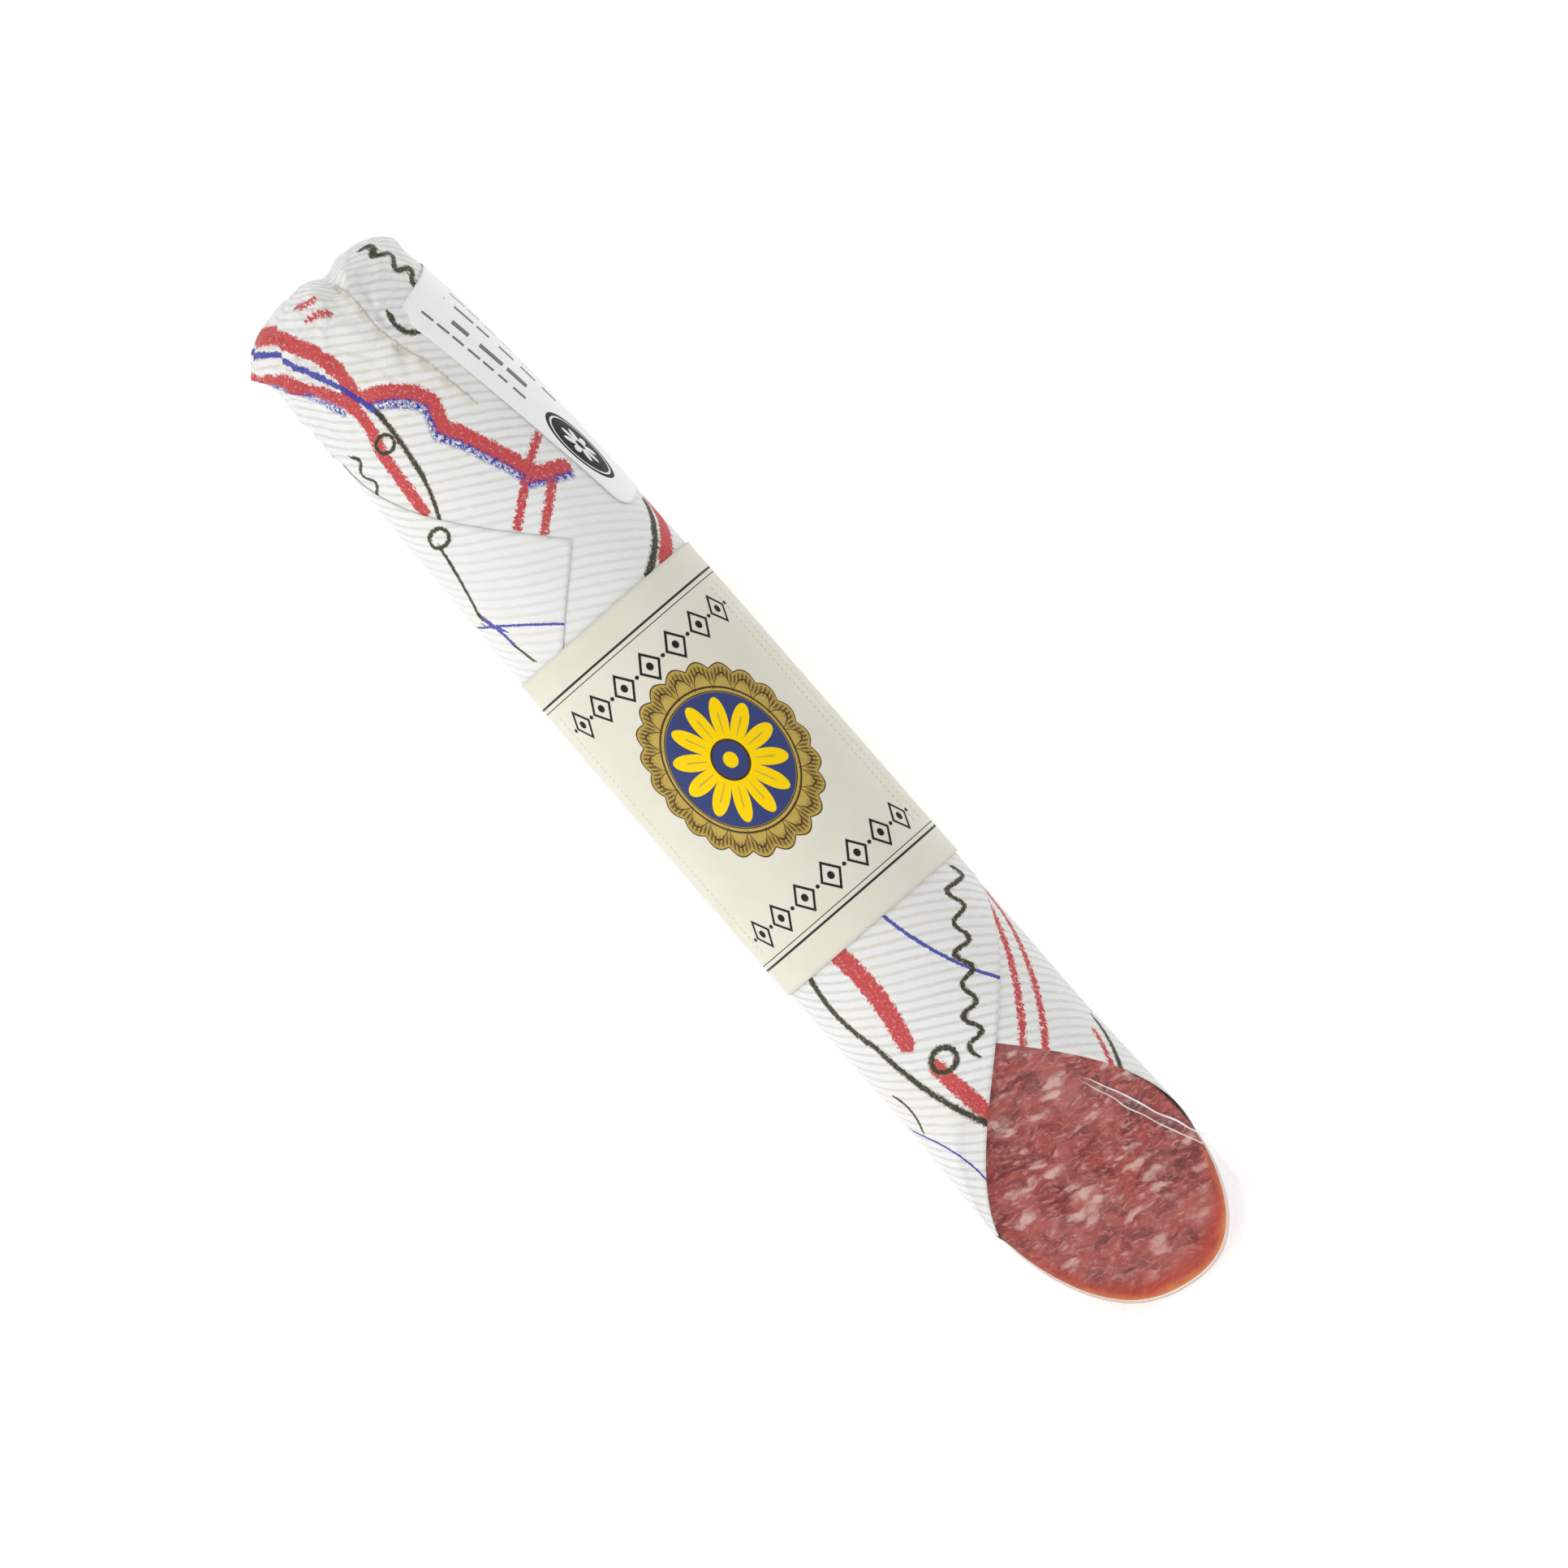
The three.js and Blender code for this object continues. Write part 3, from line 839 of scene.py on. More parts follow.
# The roll's shape, in mm and turns
TURNS_KEPT = 2.08
FOLD_DEPTH = 10.0
FOLDED_RADIUS = BODY_RADIUS - 5
BLUNTNESS = 2.5  # of the oval over the closed end, where 2 is round
PLEAT_HEIGHT = 1.6
CRUMPLE_HEIGHT = 1.3
EAR_HEIGHT = 4.6  # of the pinched corner beside the closed end
EAR_ANGLE, EAR_WIDTH = math.radians(-88), math.radians(30)
TUCK_Y, TUCK_WIDTH = 2.6, 3.4
SAG = 0.62  # share of its height over the cut by which the paper sinks to it
CREASE_HEIGHT = 2.0
RIM_GAP = 0.8  # by which the trimmed edge stops short of the rim, low on the sides
STICKER_ANGLE, STICKER_SPREAD = math.radians(72), math.radians(52)


def fold_profile(reach, radius):
    """Over the closed end: how far ahead, and how far in, a point reach mm past the bend lies."""
    swing = np.linspace(0, math.pi / 2, 400)
    ahead = FOLD_DEPTH * np.sin(swing) ** (2 / BLUNTNESS)
    inner = np.cos(swing) ** (2 / BLUNTNESS)
    steps = np.hypot(np.diff(ahead), np.diff(inner) * radius)
    along = np.concatenate([[0], np.cumsum(steps)])
    return np.interp(reach, along, ahead), np.interp(reach, along, inner), along[-1]


def paper_waves(x, turn):
    """Slow unevenness of the roll, shared by all its turns."""
    tube = np.stack(np.broadcast_arrays(x, np.cos(turn) * 28, np.sin(turn) * 28), -1)
    return 0.14 * soft_noise(tube, 55.0, 5, 2)


def roll_points(x, total, extra):
    """Rolled paper at station x and total angle, folded over the closed end, sagging over the cut."""
    w = wrapping()
    first = w.corner_angle - TURNS_KEPT * TAU
    offset = w.roll_offset + w.pitch * (total - first) / TAU + extra
    reach = np.maximum(FOLD_DEPTH - x, 0)
    ahead, inner, _ = fold_profile(reach, FOLDED_RADIUS)
    station = np.maximum(x, FOLD_DEPTH)
    turn = np.mod(total, TAU)
    waves = paper_waves(station, turn)
    ends = ease(14, -4, x)
    swirl = turn + 0.25 * ends + 0.35 * np.sin(turn * 2 + 1)
    pleats = np.abs(np.sin(swirl * 3.5)) ** 0.6
    pleats = pleats + 0.5 * np.abs(np.sin(swirl * 8 + 1.5 * np.sin(turn * 3))) - 0.8
    waves = waves + ends * pleats * PLEAT_HEIGHT * np.minimum(inner * 3, 1)
    beside = (np.mod(turn - EAR_ANGLE + math.pi, TAU) - math.pi) / EAR_WIDTH
    ear = np.exp(-beside ** 2) * ease(30, 6, x)
    waves = waves + ear * (EAR_HEIGHT + 0.5 * np.sin(turn * 27 + x * 0.7))
    tube = np.stack([x, np.cos(turn) * 22, np.sin(turn) * 22], -1)
    crumple = 0.5 - 1.5 * np.abs(soft_noise(tube, 21.0, 8, 2)) + 0.5 * soft_noise(tube, 9.0, 12, 2)
    under_sticker = np.exp(-((turn - STICKER_ANGLE) / STICKER_SPREAD) ** 4)
    crumpled = ease(50, 8, x) * (1 - under_sticker) + ease(21, 4, x) * under_sticker
    waves = waves + CRUMPLE_HEIGHT * crumple * crumpled * np.minimum(inner * 3, 1)
    radius = body_radius(station) + offset + waves
    y = radius * np.sin(total) * inner
    z = axis_height(station) + radius * rounded_down(total) * inner
    dent = np.exp(-((y - TUCK_Y) / TUCK_WIDTH) ** 2)
    tuck = (2.3 + 2.5 * ease(0.6, 0.95, inner)) * dent * ease(12, 2, x)
    uneven = 0.7 * soft_noise(tube, 15.0, 15, 2) * ease(10, -6, x)
    place = np.stack([station - ahead + tuck + uneven, y, z], -1)
    face = cut_height(place[..., 0], place[..., 1]) + offset
    above = place[..., 2] - face
    sag = ease(0.0, 4.0, above) * above * SAG
    place[..., 2] -= np.where(np.cos(total) > -0.2, sag, 0)
    return place


def bent_line(x0, y0, x1, y1, share, side):
    """Points at those shares of the way between two places, moved side mm off the straight line."""
    length = math.hypot(x1 - x0, y1 - y0)
    x = x0 + (x1 - x0) * share - (y1 - y0) / length * side
    y = y0 + (y1 - y0) * share + (x1 - x0) / length * side
    return list(zip(x, y))


def path(x, y, *legs):
    """Arcs end to end on the top view: the start, then the end and the bow of each arc."""
    share = np.linspace(0, 1, 9)
    points = []
    for end_x, end_y, bow in legs:
        points += bent_line(x, y, end_x, end_y, share, 4 * share * (1 - share) * bow)
        x, y = end_x, end_y
    return points


def ring(x, y, radius):
    turns = np.linspace(0, TAU, 18)
    return list(zip(x + radius * np.cos(turns), y + radius * 1.15 * np.sin(turns)))


def wave(x0, y0, x1, y1, swing, turns):
    """A plain wavy line between two places on the top view."""
    share = np.linspace(0, 1, 14 * turns)
    side = swing * np.sin(share * TAU * turns) * (0.8 + 0.2 * np.sin(share * 17))
    return bent_line(x0, y0, x1, y1, share, side)


# Crayon and pen strokes by place on the top view: half width, then stations and offsets in mm
RED = [
    (2.6, path(1, -20, (13, -13.6, 0.8), (24, -10.8, 0.6), (32, -14.0, 0.8))),
    (2.1, path(7, -26, (18, -20.6, 0.4), (31.5, -14.4, 0.4), (46, -16.2, 1), (64, -17.8, 0))),
    (2.1, path(33, -9.8, (38.8, -0.8, 0.6), (44.8, 2.6, 0.4), (51.6, 0.2, 0), (55.9, 2.8, 0),
         (66.7, 7.2, 0), (76, 9.8, 0.4), (79.5, 17.4, 0))),
    (1.2, path(69, 17.3, (73, 11, 0))),
    (1.2, path(76, 7, (83.6, -2.3, 0))),
    (1.2, path(80.5, 12.3, (88.8, 2.2, 0))),
    (2.2, path(100, 29, (114.5, 21, 1.6))),
    (2.7, path(214, -13, (248, -14, 2))),
    (2.4, path(258, -12, (282, -9, 0))),
    (1.0, path(226, 28.3, (272, 5, 4))),
    (1.0, path(232, 28.6, (277, 9, 4))),
    (0.9, path(277, 25.4, (290, 21.4, 0.6))),
    (0.95, path(2.5, -9, (4.5, -3, -0.8))),
    (0.95, path(8.5, -8, (10.5, -2.6, 0.8))),
]
BLUE = [
    (0.85, path(1, -23, (15.7, -16.9, 0.5), (38.5, -10, 0.3))),
    (0.7, path(94.2, -24.4, (105.6, -22.6, 0.3))),
    (0.35, path(96, -27, (110.5, -8.8, 0.3))),
    (0.5, path(218, 3, (252, 16, -2))),
    (0.4, path(266, -28.0, (292, -21, 2))),
]
PEN = [
    (0.8, path(38, -10.2, (57.5, -12.0, 0.4))),
    (0.6, path(57.5, -12.0, (70.3, -16.9, 0.4))),
    (0.6, path(74.5, -20.6, (93.6, -24.5, 0.3))),
    (0.45, path(106.3, -22.5, (111.6, -21.5, 0))),
    (0.5, wave(42, -22.6, 63, -24.4, 1.2, 3)),
    (0.7, wave(2, 15, 20, 20.5, 2.2, 3)),
    (0.8, path(21, 8.3, (28.5, 10.6, -1.6))),
    (1.0, path(99.5, 27.4, (114, 15.8, 2))),
    (0.95, path(217, -21, (244, -20.5, -2), (279, -10.5, -2))),
    (0.6, wave(222, 25, 262, -2, 2.6, 6)),
    (0.9, path(275, 27.6, (290, 23.6, 0.8))),
    (0.5, path(257, -25.2, (268, -25.6, 1.0))),
]
RINGS = [(0.5, ring(45.2, -14.0, 2.3)), (0.55, ring(72.4, -19.2, 2.4)), (0.75, ring(257.6, -9.2, 3.1)),
         (0.8, path(93.6, -24.4, (94.6, -24.4, 0)))]
# Crease lines of the crumpled paper; a shadow is painted beside the first one.
CREASES = [
    (1.0, path(1, 3.6, (22, 4.0, 0.3), (35, 7.4, -0.4), (52, 10.5, 0))),
    (1.0, path(0, -15, (13, -19, 1), (25, -17, 0))),
    (1.0, path(7, -26, (20, -21, 1))),
    (1.0, path(1, -4, (12, -6, 1), (19, -12, 0))),
    (1.0, path(6, 16, (14, 9, 1))),
    (1.0, path(21, 8, (30, -1, 1))),
    (1.0, path(20, -27, (40, -25, 0.5))),
]
DUST = [(2.0, path(35.5, -10.4, (40.8, -3, 0.6), (45.5, 0.4, 0.4), (52.4, -2.2, 0), (57.5, 1, 0),
                   (68, 5.4, 0), (77, 8, 0.4), (81.5, 17, 0))),
        (1.6, path(10, -27, (32, -17, 1)))]


SIDE = 0.95  # share of the radius past which offsets are laid off round the body
SIDE_RATE = 2.8  # radians for each share of the radius past that


def strokes_on_sheet(strokes):
    """Each stroke's points as station and arc length on the unrolled sheet, on the layer that shows."""
    placed = []
    for half, points in strokes:
        x, y = np.array(points).T
        share = y / (body_radius(x) + 1.2)
        steep = np.clip(share, -SIDE, SIDE)
        angle = np.arcsin(steep) + SIDE_RATE * (share - steep)
        middle = len(x) // 2
        turns = visible_turn(x[middle], angle[middle]) - angle[middle]
        placed.append((half, np.stack([x, (angle + turns) * roll_radius()], -1)))
    return placed


def stroke_fields(spots, strokes):
    """Distance outside the nearest stroke's edge, and signed share of its half width across it."""
    outside = np.full(len(spots), 50.0)
    across = np.full(len(spots), 50.0)
    for half, line in strokes_on_sheet(strokes):
        low, high = line.min(0) - 8, line.max(0) + 8
        near = np.flatnonzero(np.all((spots > low) & (spots < high), axis=1))
        for start, end in zip(line[:-1], line[1:]):
            run = end - start
            length = np.linalg.norm(run)
            if length < 1e-6:
                continue
            gap = spots[near] - start
            share = np.clip(gap @ run / length ** 2, 0, 1)
            away = gap - share[:, None] * run
            distance = np.linalg.norm(away, axis=1)
            sign = np.sign(gap[:, 0] * run[1] - gap[:, 1] * run[0])
            closer = distance - half < outside[near]
            chosen = near[closer]
            outside[chosen] = (distance - half)[closer]
            across[chosen] = (sign * distance / half)[closer]
    return outside, across


def paper_material():
    w = wrapping()
    material, nodes, shader = new_material("Ribbed printed paper")
    place = nodes.place()
    flat = nodes.flat()
    grain = nodes.group(shared("grain"), vector=place, scale=1.0)
    x, arc_length, _ = nodes.split(flat)
    wobble = nodes.noise(flat, 0.05, 2.0)
    across = nodes.minus(nodes.times(x, math.sin(w.rib_lean)),
                        nodes.times(arc_length, math.cos(w.rib_lean)))
    across = nodes.plus(across, nodes.times(wobble, 1.2))
    wave = nodes.math("SINE", nodes.times(across, TAU / w.rib_pitch))
    along = nodes.plus(nodes.times(x, math.cos(w.rib_lean)),
                       nodes.times(arc_length, math.sin(w.rib_lean)))
    stretched = nodes.join(nodes.times(across, 2.2), nodes.times(along, 0.35))
    dashes = nodes.noise(stretched, 1.1, 3.0, 0.7)
    soft = nodes.plus(nodes.times(dashes, 1.3), nodes.times(wave, 0.42))
    rib = nodes.rise(soft, 0.58, 1.14)
    tint = nodes.noise(flat, 0.035, 2.0)
    tone = nodes.mix(nodes.rise(tint, 0.42, 0.60), w.rib_color, (0.58, 0.59, 0.58))
    outer = nodes.times(nodes.rise(x, 60.0, 85.0), nodes.rise(x, 150.0, 130.0))
    strength = nodes.minus(0.72, nodes.times(outer, 0.3))
    color = nodes.mix(nodes.times(rib, strength), w.paper_color, tone)
    mottle = nodes.times(nodes.rise(grain["Mottle"], 0.35, 0.75), 0.3)
    color = nodes.mix(mottle, color, tinted(w.paper_color, 0.97, 0.95, 0.90))
    # Painted shadow: a warm shade painted beside the main crease.
    color = nodes.mix(nodes.times(nodes.attribute("crease_shadow"), 0.8), color, (0.52, 0.47, 0.36))

    fine = nodes.noise(flat, 0.95, 5.0, 0.8)
    speck = nodes.noise(flat, 1.1, 4.0, 0.9)
    rough_edge = nodes.times(nodes.minus(fine, 0.5), 5.5)
    wax = nodes.minus(0.97, nodes.times(nodes.rise(speck, 0.55, 0.66), 0.62))

    def thick(name, soft):
        edge = nodes.plus(nodes.attribute(name), rough_edge)
        return nodes.rise(edge, soft, -soft)

    def thin(name, reach):
        side = nodes.math("ABSOLUTE", nodes.attribute(name + "_across"))
        side = nodes.plus(side, nodes.times(rough_edge, 0.6))
        close = nodes.rise(nodes.attribute(name), 1.15, 0.75)
        return nodes.times(nodes.rise(side, reach + 0.15, reach - 0.15), close)

    # Painted shadow: a thin dark line along the main crease.
    color = nodes.mix(nodes.times(thin("fold", 0.3), 0.55), color, (0.34, 0.31, 0.26))
    color = nodes.mix(nodes.times(thick("red", 0.15), wax), color, w.red_color)
    dust = nodes.times(thick("dust", 0.6), nodes.rise(fine, 0.47, 0.51))
    outside_red = nodes.rise(nodes.plus(nodes.attribute("red"), rough_edge), -0.8, 0.1)
    color = nodes.mix(nodes.times(dust, outside_red), color, w.blue_color)
    color = nodes.mix(nodes.times(thin("blue", 1.0), 0.93), color, w.blue_color)
    for name in ("pen", "rings"):
        color = nodes.mix(nodes.times(thin(name, 1.35), 0.45), color, (0.30, 0.25, 0.08))
        color = nodes.mix(nodes.times(thin(name, 0.95), wax), color, w.ink_color)
    creases = nodes.add("ShaderNodeTexVoronoi", {"Vector": place, "Scale": 95.0},
                        feature="DISTANCE_TO_EDGE")
    folds = nodes.times(nodes.rise(creases.outputs["Distance"], 0.0, 0.16),
                       nodes.rise(x, 60.0, 10.0))
    height = nodes.plus(nodes.times(grain["Tooth"], 0.5), nodes.times(rib, 0.5))
    height = nodes.plus(height, nodes.times(folds, 11.0))
    nodes.fill(shader, {
        "Base Color": color, "Roughness": nodes.plus(nodes.times(grain["Mottle"], 0.15), 0.48),
        "Specular IOR Level": 0.2, "Normal": nodes.bump(height, 0.35, 0.00015)})
    return material


def make_paper():
    """The sheet, rolled so that its outer corner ends on top; hidden inner turns are left out."""
    w = wrapping()
    step = 1.3  # mm between the sheet's points
    sizes = (w.sheet_length, w.sheet_width)
    downs, sides = (np.linspace(0, size, round(size / step) + 1) for size in sizes)
    down, side = np.meshgrid(downs, sides, indexing="ij")
    x, total = sheet_to_roll(down, side)
    turn = roll_radius() * TAU
    margin = 16  # mm kept beyond what one turn hides
    buried = (down > turn * math.cos(w.lean) + margin) & (side > turn * math.sin(w.lean) + margin)
    reach = fold_profile(0.0, FOLDED_RADIUS)[2]
    high = np.cos(total)
    past_rim = 50 * np.maximum(high, 0) - RIM_GAP - 6 * ease(0.0, -0.3, high)
    limit = np.minimum(rim_x(total, w.roll_offset) + past_rim, TONGUE_X)
    over = x - limit
    kept = (x > FOLD_DEPTH - reach - 0.3) & (over < 2) & ~buried
    x = np.minimum(x, limit)
    faces = grid_faces(len(downs), len(sides))[:, ::-1]
    whole = kept.ravel()[faces].all(axis=1) & (over.ravel()[faces] < 0).any(axis=1)
    x, total = x.ravel(), total.ravel()
    edge = np.minimum(down, side).ravel()
    corner = np.hypot(down, side).ravel()
    lifted = 0.16 * np.exp(-edge / 3.5) * ease(75, 20, corner)  # the outer corner's edges
    lifted = lifted + 0.3 * np.exp(-edge / 3.0) * ease(235, 262, x)  # the edges beside the notch
    spots = np.stack([x, total * roll_radius()], -1)
    across = stroke_fields(spots, CREASES)[1]
    fade = ease(60, 40, x)
    ridge = np.where(across > 0, np.exp(-across / 0.8), np.exp(across / 4))
    lifted = lifted + CREASE_HEIGHT * fade * ridge
    points = roll_points(x, total, lifted)
    # Painted shadow beside the main crease line, where the fold's edge would shade the paper.
    beside = stroke_fields(spots, CREASES[:1])[1]
    crease_shadow = fade * np.exp(-((beside - 1.0) / 1.0) ** 2) * (0.7 + 0.3 * np.sin(x * 0.9))
    points, faces, spots, crease_shadow = used_only(points, faces[whole], spots, crease_shadow)
    values = {"crease_shadow": crease_shadow}
    # Crayon, pen, rings and dust are print; the fold line is a painted shadow line along the main
    # crease.
    prints_and_shade_line = {"red": RED, "blue": BLUE, "pen": PEN, "rings": RINGS, "dust": DUST, "fold": CREASES[:1]}
    for name, strokes in prints_and_shade_line.items():
        outside, across = stroke_fields(spots, strokes)
        values[name] = outside
        if name not in ("red", "dust"):
            values[name + "_across"] = across
    piece = new_piece("rolled_paper", points, faces, values, spots)
    thicken(piece, w.wall)
    declare(piece, paper_material(), "wrap_paper", "paper_wrap")


class SAUSAGE_OT_paper(bpy.types.Operator):
    """Roll the printed sheet round the sausage"""

    bl_idname = "sausage.paper"
    bl_label = "Rolled paper"

    def execute(self, context):
        make_paper()
        return {"FINISHED"}


# ---------------------------------------------------------------- band label


def label_offset():
    return LABEL_RADIUS - BODY_RADIUS - GRIP


def label_material():
    p = printing()
    material, nodes, shader = new_material("Cream label paper")
    place = nodes.place()
    flat = nodes.flat()
    along, across, _ = nodes.split(flat)
    grain = nodes.group(shared("grain"), vector=place, scale=0.8)
    color = nodes.mix(nodes.rise(grain["Mottle"], 0.3, 0.8), p.label_color,
                      tinted(p.label_color, 0.96, 0.95, 0.92))
    away = nodes.math("ABSOLUTE", along)
    for place_mm, half in ((p.rule, 0.32), (p.rule - 1.5, 0.13)):
        line = nodes.off(away, place_mm)
        color = nodes.mix(nodes.rise(line, half + 0.08, half - 0.08), color, (0.03, 0.03, 0.035))

    dots = nodes.rise(nodes.math("PINGPONG", along, 0.8), 0.30, 0.42)
    dots = nodes.times(dots, nodes.rise(away, p.rule - 3.5, p.rule - 3.8))
    for angle in (-67, 62, 70):
        line = nodes.off(across, math.radians(angle) * LABEL_RADIUS)
        dot = nodes.times(dots, nodes.rise(line, 0.34, 0.14))
        color = nodes.mix(nodes.times(dot, 0.5), color, (0.30, 0.30, 0.31))

    rosette = nodes.group(shared("rosette"), along=nodes.plus(along, 3.0), across=across,
                          length=p.rosette_length, width=p.rosette_width, petals=12.0, scallops=22.0)
    reach, petal, scallop, turn = (rosette[key] for key in ("Reach", "Petal", "Scallop", "Turn"))
    edge = nodes.minus(reach, nodes.times(scallop, 0.07))
    inside = nodes.rise(edge, 0.935, 0.925)
    rim = nodes.mix(nodes.noise(place, 500.0, 3.0), p.gold_color,
                    tinted(p.gold_color, 1.35, 1.35, 1.35))
    rays = nodes.math("ABSOLUTE", nodes.math("SINE", nodes.times(turn, 66.0)))
    shade = nodes.times(nodes.rise(rays, 0.25, 0.75), nodes.rise(edge, 0.74, 0.82))
    shade = nodes.times(shade, nodes.rise(edge, 0.915, 0.86))
    rim = nodes.mix(nodes.times(shade, 0.8), rim, p.brown_color)
    lobe = nodes.minus(nodes.times(scallop, 0.10), nodes.minus(edge, 0.72))
    rim = nodes.mix(nodes.rise(nodes.math("ABSOLUTE", lobe), 0.014, 0.006), rim, p.brown_color)
    for radius, half in ((0.925, 0.010), (0.735, 0.010), (0.69, 0.006)):
        band = nodes.off(edge if radius > 0.8 else reach, radius)
        rim = nodes.mix(nodes.rise(band, half + 0.004, half - 0.003), rim, p.brown_color)
    color = nodes.mix(inside, color, rim)
    field = nodes.rise(reach, 0.685, 0.675)
    color = nodes.mix(field, color, p.blue_color)
    length = nodes.plus(nodes.times(nodes.math("POWER", petal, 0.7), 0.36), 0.27)
    bloom = nodes.rise(nodes.minus(reach, length), 0.006, -0.006)
    color = nodes.mix(bloom, color, p.yellow_color)
    vein = nodes.times(nodes.rise(petal, 0.985, 0.998), nodes.rise(reach, 0.24, 0.28))
    vein = nodes.times(vein, nodes.rise(reach, 0.50, 0.46))
    color = nodes.mix(nodes.times(vein, 0.7), color, p.gold_color)
    color = nodes.mix(nodes.rise(reach, 0.205, 0.195), color, p.blue_color)
    heart = nodes.rise(nodes.off(reach, 0.2), 0.016, 0.008)
    color = nodes.mix(heart, color, p.brown_color)
    color = nodes.mix(nodes.rise(reach, 0.085, 0.075), color, p.yellow_color)
    nodes.fill(shader, {
        "Base Color": color, "Roughness": nodes.plus(nodes.times(grain["Mottle"], 0.1), 0.42),
        "Specular IOR Level": 0.12, "Normal": nodes.bump(grain["Tooth"], 0.2, 0.00008)})
    return material


def label_point(x, angle):
    """The label's surface, with a soft ridge where the paper's edge passes under it."""
    edge = outer_edge_angle(x)
    nearest = np.mod(angle - edge + math.pi, TAU) - math.pi
    ridge = 0.10 * np.exp(-((nearest * BODY_RADIUS + 1.5) / 2.2) ** 2)
    lap = 0.2 * ease(math.pi * 0.92, math.pi * 1.0, angle)
    flat = np.stack([x, np.cos(angle) * 25, np.sin(angle) * 25], -1)
    waves = 0.05 * soft_noise(flat, 40.0, 9, 1)
    curl = 0.12 * (np.exp(-(x - LABEL_START) / 1.5) + np.exp(-(LABEL_END - x) / 1.5))
    offset = label_offset() + ridge + lap + waves + curl
    return on_body(x, angle, offset)


def make_label():
    """The band label, lapped over itself along the underside."""
    lap = math.radians(9)
    stations = np.linspace(LABEL_START, LABEL_END, 76)
    angles = np.linspace(-math.pi - lap, math.pi + lap, 200)
    x, angle = np.meshgrid(stations, angles, indexing="ij")
    points = label_point(x, angle)
    uv = np.stack([x - (LABEL_START + LABEL_END) / 2, angle * LABEL_RADIUS], -1)
    piece = new_piece("band_label_paper", points, grid_faces(len(stations), len(angles)), None, uv)
    thicken(piece, printing().wall)
    declare(piece, label_material(), "label_paper", "band_label")


class SAUSAGE_OT_label(bpy.types.Operator):
    """Put the band label round the roll"""

    bl_idname = "sausage.label"
    bl_label = "Band label"

    def execute(self, context):
        make_label()
        return {"FINISHED"}


# ---------------------------------------------------------------- printed marks by Geometry Nodes


def marks_tree():
    """A row of small flat marks bent round the body: outlined lozenges or filled dots."""
    tree, nodes, given, output = new_tree("Row of Marks", "GeometryNodeTree", {
        "Count": ("Int", 9), "Sides": ("Int", 4), "Filled": ("Bool", False),
        "Start": ("Vector", (0, 0, 0)), "Step": ("Vector", (0, 1, 0)), "Size": ("Vector", (1, 1, 1)),
        "Line": ("Float", 0.2),
        "Radius": ("Float", 29.0), "Axis Height": ("Float", 28.0), "Material": ("Material", None)},
        {"Geometry": "Geometry"})
    line = nodes.add("GeometryNodeMeshLine", {
        "Count": given["Count"], "Start Location": given["Start"], "Offset": given["Step"]},
        mode="OFFSET")
    outline, profile = (
        nodes.add("GeometryNodeCurvePrimitiveCircle", {"Resolution": sides, "Radius": radius},
                  mode="RADIUS")
        for sides, radius in ((given["Sides"], 1.0), (4, given["Line"])))
    swept = nodes.add("GeometryNodeCurveToMesh", {
        "Curve": outline.outputs[0], "Profile Curve": profile.outputs[0]})
    disc = nodes.add("GeometryNodeMeshCylinder", {
        "Radius": 1.0, "Depth": 0.5, "Vertices": given["Sides"]})
    mark = nodes.add("GeometryNodeSwitch", {
        "Switch": given["Filled"], "False": swept.outputs[0], "True": disc.outputs["Mesh"]},
        input_type="GEOMETRY")
    placed = nodes.add("GeometryNodeInstanceOnPoints", {
        "Points": line.outputs[0], "Instance": mark.outputs[0], "Scale": given["Size"]})
    real = nodes.add("GeometryNodeRealizeInstances", {0: placed.outputs[0]})
    x, y, z = nodes.split(nodes.add("GeometryNodeInputPosition").outputs[0])
    angle = nodes.over(y, given["Radius"])
    radius = nodes.plus(given["Radius"], nodes.times(z, 0.04))
    across = nodes.times(radius, nodes.math("SINE", angle))
    high = nodes.plus(nodes.times(radius, nodes.math("COSINE", angle)), given["Axis Height"])
    bent = nodes.join(nodes.times(x, MM), nodes.times(across, MM), nodes.times(high, MM))
    moved = nodes.add("GeometryNodeSetPosition", {"Geometry": real.outputs[0], "Position": bent})
    painted = nodes.add("GeometryNodeSetMaterial", {
        "Geometry": moved.outputs[0], "Material": given["Material"]})
    nodes.fill(output, {"Geometry": painted.outputs[0]})
    return tree


def ink_material():
    material, nodes, shader = new_material("Label ink")
    tone = nodes.rise(nodes.noise(nodes.place(), 1500.0, 2.0), 0.3, 0.8)
    color = nodes.mix(tone, (0.012, 0.012, 0.016), (0.03, 0.03, 0.035))
    nodes.fill(shader, {"Base Color": color, "Roughness": 0.45, "Specular IOR Level": 0.1})
    return material


def row_of_marks(tree, material, **values):
    """One realised row as a mesh in the row frame."""
    holder = add_object("row", bpy.data.meshes.new("row"))
    modifier = holder.modifiers.new("marks", "NODES")
    modifier.node_group = tree
    items = tree.interface.items_tree
    sockets = {item.name: item.identifier for item in items if item.in_out == "INPUT"}
    for name, value in {"Material": material, **values}.items():
        modifier[sockets[name]] = value
    mesh = evaluated_mesh(holder)
    bpy.data.objects.remove(holder)
    return mesh


